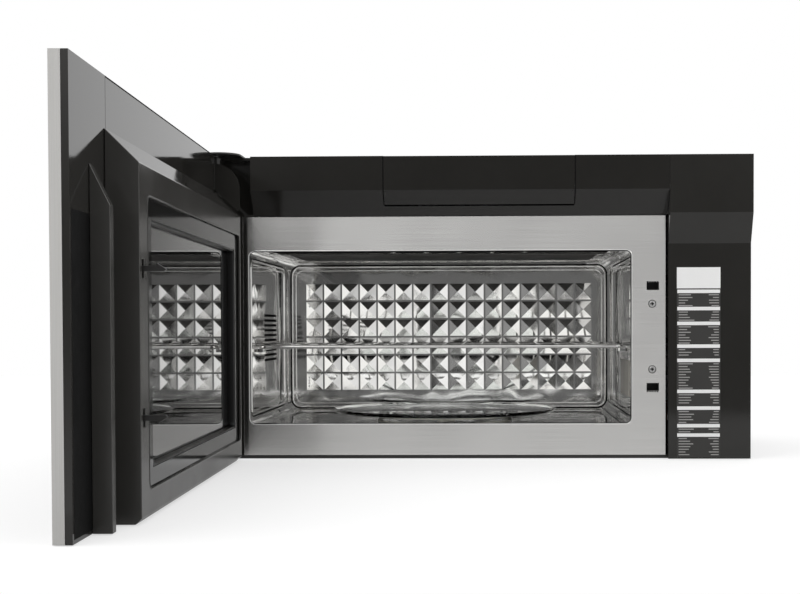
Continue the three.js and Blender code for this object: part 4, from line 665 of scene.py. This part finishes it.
def headShape(radius, rings, sides, normal, rise):
    # rings from the rim to the middle of a circle, raised by a function of x, y and the share of the radius,
    # with a first ring straight under the rim
    share = np.linspace(1, 0, rings)[:, None]
    x, y = radius * share * np.cos(around(sides))[None, :], radius * share * np.sin(around(sides))[None, :]
    head = np.stack(np.broadcast_arrays(x, y, rise(x, y, share)), -1)
    flat = np.concatenate([head[:1] * (1, 1, 0), head]).reshape(-1, 3)
    return turnTo(flat, normal), gridFaces(rings + 1, sides, False, True)


def domeRise(share):
    # the square root of one less the squared share, stopped just short of a rim at zero
    return np.sqrt(1 - share ** 2 * 0.999)


def domeShape(radius, height, normal, rings=6, sides=20):
    # a low dome over a circle: the height times that root
    return headShape(radius, rings, sides, normal, lambda x, y, share: height * domeRise(share))


# pressed beads that stiffen the cavity's walls, and outside them a sharp fold drawn as a line of painted
# shade
cavityBeads = {
    "lines": [(0.0, 2.6, 1.2), (6.0, 2.0, 0.7)],     # each bead's inset, width and height
    "foldInset": -2.5, "foldWidth": 2.2, "foldHeight": 0.08, "foldSunk": 0.05, "foldSteps": 5,
    # axis and level of the wall, the way it faces, the beads' edges and their corner radius
    "walls": [
        (1, oven["cavityBack"], toFront, (-320.3, 205.0, 53.2, 287.7), 15.0),
        (0, oven["cavityLeft"], toRight, (58.0, 372.0, 60.0, 284.0), 14.0),
        (0, oven["cavityRight"], toLeft, (58.0, 372.0, 60.0, 284.0), 14.0),
        (2, oven["cavityTop"], downwards, (-316.0, 200.0, 128.0, 366.0), 14.0),
        (2, oven["cavityBottom"], upwards, (-316.0, 200.0, 44.0, 374.0), 14.0),
    ],
}
foldProfile = humpProfile(cavityBeads["foldWidth"], cavityBeads["foldHeight"], cavityBeads["foldSunk"],
                          cavityBeads["foldSteps"])
beads, folds = [], []
for axis, level, normal, edges, radius in cavityBeads["walls"]:
    for inset, width, height in cavityBeads["lines"]:
        loop = insetLoop(edges, inset, radius - inset / 2, axis, level)
        beads.append(carryRound(loop, humpProfile(width, height), normal))
    inset = cavityBeads["foldInset"]
    loop = insetLoop(edges, inset, radius - inset / 2, axis, level)
    folds.append(carryRound(loop, foldProfile, normal))
addSurface("cavity_wall_beads", beads, polishedStainless)
addSurface("cavity_crease_shade", folds, creaseShade)

# the flange's rolled edge, bright round the opening of the frame, and the fold inside it drawn as a line of
# painted shade
openingBead = {"inset": -0.2, "radius": 8.6, "width": 1.4, "height": 0.5}
openingFoldShade = {"inset": 0.9, "radius": oven["openingRadius"] - 0.9, "width": 1.3, "height": 0.25}
for name, line, material, slotName in (("opening_bead", openingBead, polishedStainless, "polished_stainless"),
                                       ("opening_fold", openingFoldShade, creaseShade, "black_steel")):
    loop = insetLoop(oven["opening"], line["inset"], line["radius"], 1, oven["frameSetback"])
    shape = carryRound(loop, humpProfile(line["width"], line["height"]), toFront)
    addSurface(name, [shape], material)

# dimples on the cavity's ceiling near the front
dimples = {"radius": 4.2, "height": 2.2, "xs": (-128.6, -80.2, -32.2, 15.8, 64.4), "y": 97.0}
points, faces = domeShape(dimples["radius"], dimples["height"], downwards)
places = [(x, dimples["y"], oven["cavityTop"]) for x in dimples["xs"]]
addSurface("ceiling_dimples", [repeatShape(points, faces, places)], polishedStainless)

# the grey plate over the ceiling's heater, and a band of painted shade in front of it: left, right, front and
# back edge
ceilingPlates = {"drop": 0.9, "sunk": 0.2,
                 "heater_plate": ((-292.0, 176.0, 172.0, 356.0), ceilingEnamel),
                 "ceiling_band": ((-302.0, 186.0, 66.0, 152.0), ceilingShadeEnamel)}
for name in ("heater_plate", "ceiling_band"):
    (left, right, front, back), material = ceilingPlates[name]
    low, high = oven["cavityTop"] - ceilingPlates["drop"], oven["cavityTop"] + ceilingPlates["sunk"]
    addSurface(name, [slabs([(left, front, low, right, back, high)])], material, smooth=False)

# a sheet of painted shade behind the left-hand wall's slots, so that they look dark
ventShadow = {"y": (168.0, 289.0), "z": (129.0, 213.0), "behind": 1.3, "thickness": 0.3}
near = oven["cavityLeft"] - ventShadow["behind"]
(front, back), (low, high) = ventShadow["y"], ventShadow["z"]
addSurface("vent_slot_shadow", [slabs([(near - ventShadow["thickness"], front, low, near, back, high)])],
           paintedShade, smooth=False)

# rows of punched holes further back in the same wall, one field higher than the slots and one lower, each
# drawn as a low disc of painted shade
wallHoles = {"radius": 1.9, "pitchY": 14.0, "pitchZ": 5.0, "proud": 0.12, "rings": 2, "sides": 12,
             "fields": [(306.0, 349.0, 222.0, 263.0), (306.0, 349.0, 75.0, 108.0)]}
points, faces = domeShape(wallHoles["radius"], wallHoles["proud"], toRight, wallHoles["rings"],
                          wallHoles["sides"])
places = [(oven["cavityLeft"], y, z) for front, back, low, high in wallHoles["fields"]
          for y in np.arange(front, back, wallHoles["pitchY"])
          for z in np.arange(low, high, wallHoles["pitchZ"])]
addSurface("wall_hole_shadows", [repeatShape(points, faces, places)], paintedShade, smooth=False)
print("cavity beads and holes made")

# a pan head in shares of its radius: a thin standing edge, a dome over it, and a cross sunk into the dome
panHead = {"edge": 0.08, "dome": 0.16, "slotHalf": 0.13, "slotReach": 0.5, "slotDepth": 0.14,
           "rings": 14, "sides": 48}


def addScrews(name, places, normal, radius, material):
    # the dome's height drops wherever x or y lies in one of the two slots of the cross
    def rise(x, y, share):
        half, reach = panHead["slotHalf"] * radius, panHead["slotReach"] * radius
        cross = ((abs(x) < half) & (abs(y) < reach)) | ((abs(y) < half) & (abs(x) < reach))
        height = radius * (panHead["edge"] + panHead["dome"] * domeRise(share))
        return np.where(cross, height - panHead["slotDepth"] * radius, height)
    points, faces = headShape(radius, panHead["rings"], panHead["sides"], normal, rise)
    addSurface(name, [repeatShape(points, faces, places)], material)


# two screws beside the latch slots, each in a ring of painted shade and with a cross of painted shade in its
# recess that shows from afar
frameScrews = {"x": 242.8, "zs": (218.7, 125.9), "radius": 4.3, "ringWidth": 0.9, "ringRadius": 5.2,
               "ringSides": 32, "ringHeight": 0.12, "ringSunk": 0.05, "ringSteps": 5,
               "crossHalf": 2.1, "crossWidth": 0.5, "crossFront": 1.08, "crossBack": 0.7}
places = [(frameScrews["x"], oven["frameSetback"], z) for z in frameScrews["zs"]]
addScrews("frame_screws", places, toFront, frameScrews["radius"], brightSteel)
ring = np.insert(circleLoop(frameScrews["ringRadius"], frameScrews["ringSides"]), 1, 0.0, axis=1)
profile = humpProfile(frameScrews["ringWidth"], frameScrews["ringHeight"], frameScrews["ringSunk"],
                      frameScrews["ringSteps"])
points, faces = carryRound(ring, profile, toFront)
addSurface("frame_screw_ring_shade", [repeatShape(points, faces, places)], paintedShade)
half, width = frameScrews["crossHalf"], frameScrews["crossWidth"]
bars = [(x - across, y - frameScrews["crossFront"], z - up, x + across, y - frameScrews["crossBack"], z + up)
        for x, y, z in places for across, up in ((half, width), (width, half))]
addSurface("frame_screw_cross_shade", [slabs(bars)], paintedShade, smooth=False)

# screws of the cabinet's top and left side
shellScrews = {"radius": 4.0, "topXs": (-350.0, -120.0, 120.0, 350.0), "topYs": (56.0, 378.0),
               "sideX": -379.5, "sideYs": (60.0, 370.0), "sideZs": (60.0, 360.0)}
places = [(x, y, oven["height"]) for x in shellScrews["topXs"] for y in shellScrews["topYs"]]
addScrews("top_screws", places, upwards, shellScrews["radius"], blackMotorSteel)
places = [(shellScrews["sideX"], y, z) for y in shellScrews["sideYs"] for z in shellScrews["sideZs"]]
addScrews("side_screws", places, toLeft, shellScrews["radius"], blackMotorSteel)

# teeth along one edge of each latch slot, drawn in painted shade: that edge's height, and the way they point
slotTeeth = {"x0": 234.9, "width": 2.6, "pitch": 3.55, "count": 5, "length": 1.5, "proud": 0.1, "sunk": 0.1,
             "rows": [(249.1, 1), (95.2, -1)]}
boxes = []
for z, way in slotTeeth["rows"]:
    low, high = sorted((z, z + way * slotTeeth["length"]))
    for k in range(slotTeeth["count"]):
        x = slotTeeth["x0"] + k * slotTeeth["pitch"]
        boxes.append((x, oven["frameSetback"] - slotTeeth["proud"], low, x + slotTeeth["width"],
                      oven["frameSetback"] + slotTeeth["sunk"], high))
addSurface("slot_teeth_shade", [slabs(boxes)], paintedShade, smooth=False)

# the label has no writing: a bare white head, white strips, and short bars of chance length between them
label = {"left": 275.8, "right": 336.8, "bottom": 2.5, "top": 269.5, "y": 19.3, "head": 240.0,
         "thickness": 0.16, "sunk": 0.05, "inkSunk": 0.02,
         "strips": (238.2, 214.0, 193.2, 161.2, 141.2, 97.6, 74.0, 49.2, 36.0),
         "stripHeight": 4.9, "stripInset": 0.6, "stripProud": 0.06,
         "rulePitch": 3.8, "ruleHeight": 1.2, "ruleProud": 0.05, "ruleStart": 3.0, "ruleEnd": 0.8,
         "leftInset": 2.6, "rightInset": 2.2, "leftLengths": (9.0, 22.0), "rightLengths": (6.0, 15.0),
         "seed": 7}
front = label["y"] - label["thickness"]
plate = (label["left"], front, label["bottom"], label["right"], label["y"] + label["sunk"], label["top"])
addSurface("label_base", [slabs([plate])], darkFilm, smooth=False)
ink, inset = front + label["inkSunk"], label["stripInset"]
stripFront, ruleFront = front - label["stripProud"], front - label["ruleProud"]
strips = [(label["left"], stripFront, label["head"], label["right"], ink, label["top"])]
strips += [(label["left"] + inset, stripFront, z - label["stripHeight"], label["right"] - inset, ink, z)
           for z in label["strips"]]
addSurface("label_strips", [slabs(strips)], whiteFilm, smooth=False)
chance = np.random.default_rng(label["seed"])
rules = []
left, right = label["left"] + label["leftInset"], label["right"] - label["rightInset"]
for top, bottom in zip(label["strips"], label["strips"][1:] + (label["bottom"],)):
    first = top - label["stripHeight"] - label["ruleStart"]
    for z in np.arange(first, bottom + label["ruleEnd"], -label["rulePitch"]):
        short, far = chance.uniform(*label["leftLengths"]), chance.uniform(*label["rightLengths"])
        rules.append((left, ruleFront, z, left + short, ink, z + label["ruleHeight"]))
        rules.append((right - far, ruleFront, z, right, ink, z + label["ruleHeight"]))
addSurface("label_rules", [slabs(rules)], ruledFilm, smooth=False)
print("screws, slots and label made")

# the seam at both sides of the flap: a shadow line down the band's face, and on below the fold, where it
# goes back by the slope for each millimetre down
flapSeam = {"left": -135.1, "right": 132.0, "width": 1.2, "proud": 0.06, "sunk": 0.6,
            "top": 425.4, "fold": 378.0, "foot": 359.2, "slope": 0.9303}
boxes = [(x, -flapSeam["proud"], low, x + flapSeam["width"], flapSeam["sunk"], high)
         for x in (flapSeam["left"] - flapSeam["width"], flapSeam["right"])
         for low, high in ((flapSeam["fold"], flapSeam["top"]), (flapSeam["foot"], flapSeam["fold"]))]
points, faces = slabs(boxes)
points[:, 1] += np.maximum(flapSeam["fold"] - points[:, 2], 0.0) * flapSeam["slope"]
addSurface("flap_seam", [(points, faces)], paintedShade, smooth=False)

# the door's window: a rounded bright edge round its opening, and the seal in the recess round the pane
doorWindow = {"edge": (-362.3, 222.5, 29.2, 315.3), "edgeRadius": 10.0, "face": 30.1, "edgeWidth": 1.6,
              "edgeHeight": 0.5, "recess": (-333.0, 192.5, 49.7, 292.7), "recessRadius": 8.0,
              "paneFace": 18.4, "sealHalf": 1.4, "sealHeight": 8.4, "sealSteps": 7}
loop = insetLoop(doorWindow["edge"], 0.0, doorWindow["edgeRadius"], 1, doorWindow["face"])
shape = carryRound(loop, humpProfile(doorWindow["edgeWidth"], doorWindow["edgeHeight"]), toBack)
addSurface("window_edge", [shape], glossBlackAbs, "door")
# the seal's section is an upright strip with a half circle on top
half, height = doorWindow["sealHalf"], doorWindow["sealHeight"]
turn = np.linspace(0, math.pi, doorWindow["sealSteps"])
profile = np.concatenate([np.stack([half * np.cos(turn), height - half + half * np.sin(turn)], -1),
                          [(-half, 0.0), (half, 0.0)]])
loop = insetLoop(doorWindow["recess"], 0.0, doorWindow["recessRadius"], 1, doorWindow["paneFace"])
addSurface("pane_seal", [carryRound(loop, profile, toBack)], sealRubber, "door")

# on the door's inner panel, all painted shade: a line in its seam, a line along its top edge, and the shade
# deep in the grip's recess
innerPanel = {"face": -2.5, "sunk": 0.1, "seamX": 252.0, "seamWidth": 0.6, "seamLow": 330.0,
              "seamProud": 0.06, "top": 425.4, "lineLeft": -330.0, "lineDepth": 1.5, "lineProud": 0.08,
              "grip": (259.0, 374.0, 4.0, 290.0), "gripProud": 0.07}
face, back, x = innerPanel["face"], innerPanel["face"] - innerPanel["sunk"], innerPanel["seamX"]
seam = (x, back, innerPanel["seamLow"], x + innerPanel["seamWidth"], face + innerPanel["seamProud"],
        innerPanel["top"])
line = (innerPanel["lineLeft"], back, innerPanel["top"] - innerPanel["lineDepth"], x,
        face + innerPanel["lineProud"], innerPanel["top"])
addSurface("panel_seam_shadow", [slabs([seam, line])], paintedShade, "door", smooth=False)
left, right, low, high = innerPanel["grip"]
gripShade = (left, back, low, right, face + innerPanel["gripProud"], high)
addSurface("grip_recess_shade", [slabs([gripShade])], paintedShade, "door", smooth=False)
print("door window and seams made")

# the rack: a closed frame of round wire with rounded corners, two braces and cross wires with domed ends
rack = {"left": -318.2, "right": 202.2, "front": 52.0, "back": 372.0, "z": 158.6, "wire": 2.5, "corner": 9.0,
        "sides": 16, "braceYs": (152.0, 272.0), "brace": 2.0, "braceZ": 158.1,
        "cross": 1.6, "crossZ": 159.5, "crossCount": 17, "thinSides": 14, "capRings": 4}


def wireShape(start, end, radius):
    # a straight wire with domed ends: circles along it that shrink over the last radius at each end
    start, end = np.asarray(start, float), np.asarray(end, float)
    length = np.linalg.norm(end - start)
    bend = np.linspace(0, math.pi / 2, rack["capRings"])
    along = np.concatenate([radius * (1 - np.cos(bend)), length - radius * (1 - np.cos(bend[::-1]))])[:, None]
    size = np.concatenate([radius * np.sin(bend), radius * np.sin(bend[::-1])])[:, None]
    turn = around(rack["thinSides"])[None, :]
    flat = np.stack(np.broadcast_arrays(size * np.cos(turn), size * np.sin(turn), along), -1).reshape(-1, 3)
    return turnTo(flat, end - start) + start, gridFaces(len(along), rack["thinSides"], False, True)


left, right, front, back = (rack[side] for side in ("left", "right", "front", "back"))
loop = insetLoop((left, right, front, back), 0.0, rack["corner"], 2, rack["z"])
shapes = [carryRound(loop, circleLoop(rack["wire"], rack["sides"]), upwards)]
for y in rack["braceYs"]:
    shapes.append(wireShape((left, y, rack["braceZ"]), (right, y, rack["braceZ"]), rack["brace"]))
for x in np.linspace(left, right, rack["crossCount"] + 2)[1:-1]:
    shapes.append(wireShape((x, front, rack["crossZ"]), (x, back, rack["crossZ"]), rack["cross"]))
piece = addSurface("rack_wires", shapes, chromedWire, "rack")
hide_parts("wire_rack")

# the glass tray: its section, as radius and height, turned about the spindle, with a foot and a rolled rim
tray = {"x": -58.0, "y": 209.65, "bottom": 55.0, "sides": 160,
        "section": [(0, 0.0), (112, 0.0), (114, 0.4), (161, 0.4), (168, 1.2), (172, 4.0), (173, 5.8),
                    (172.3, 6.8), (171.4, 6.9), (169.6, 6.0), (165.4, 4.3), (158, 3.7), (100, 3.6),
                    (98, 3.3), (96, 3.6), (0, 3.6)]}
section, turn = np.array(tray["section"]), around(tray["sides"])[None, :]
points = np.stack(np.broadcast_arrays(tray["x"] + section[:, :1] * np.cos(turn),
                                      tray["y"] + section[:, :1] * np.sin(turn),
                                      tray["bottom"] + section[:, 1:]), -1).reshape(-1, 3)
shape = (points, gridFaces(len(section), tray["sides"], False, True))
piece = addSurface("tray_glass", [shape], clearGlass, "turntable")
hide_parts("glass_turntable")
print("rack and tray made")
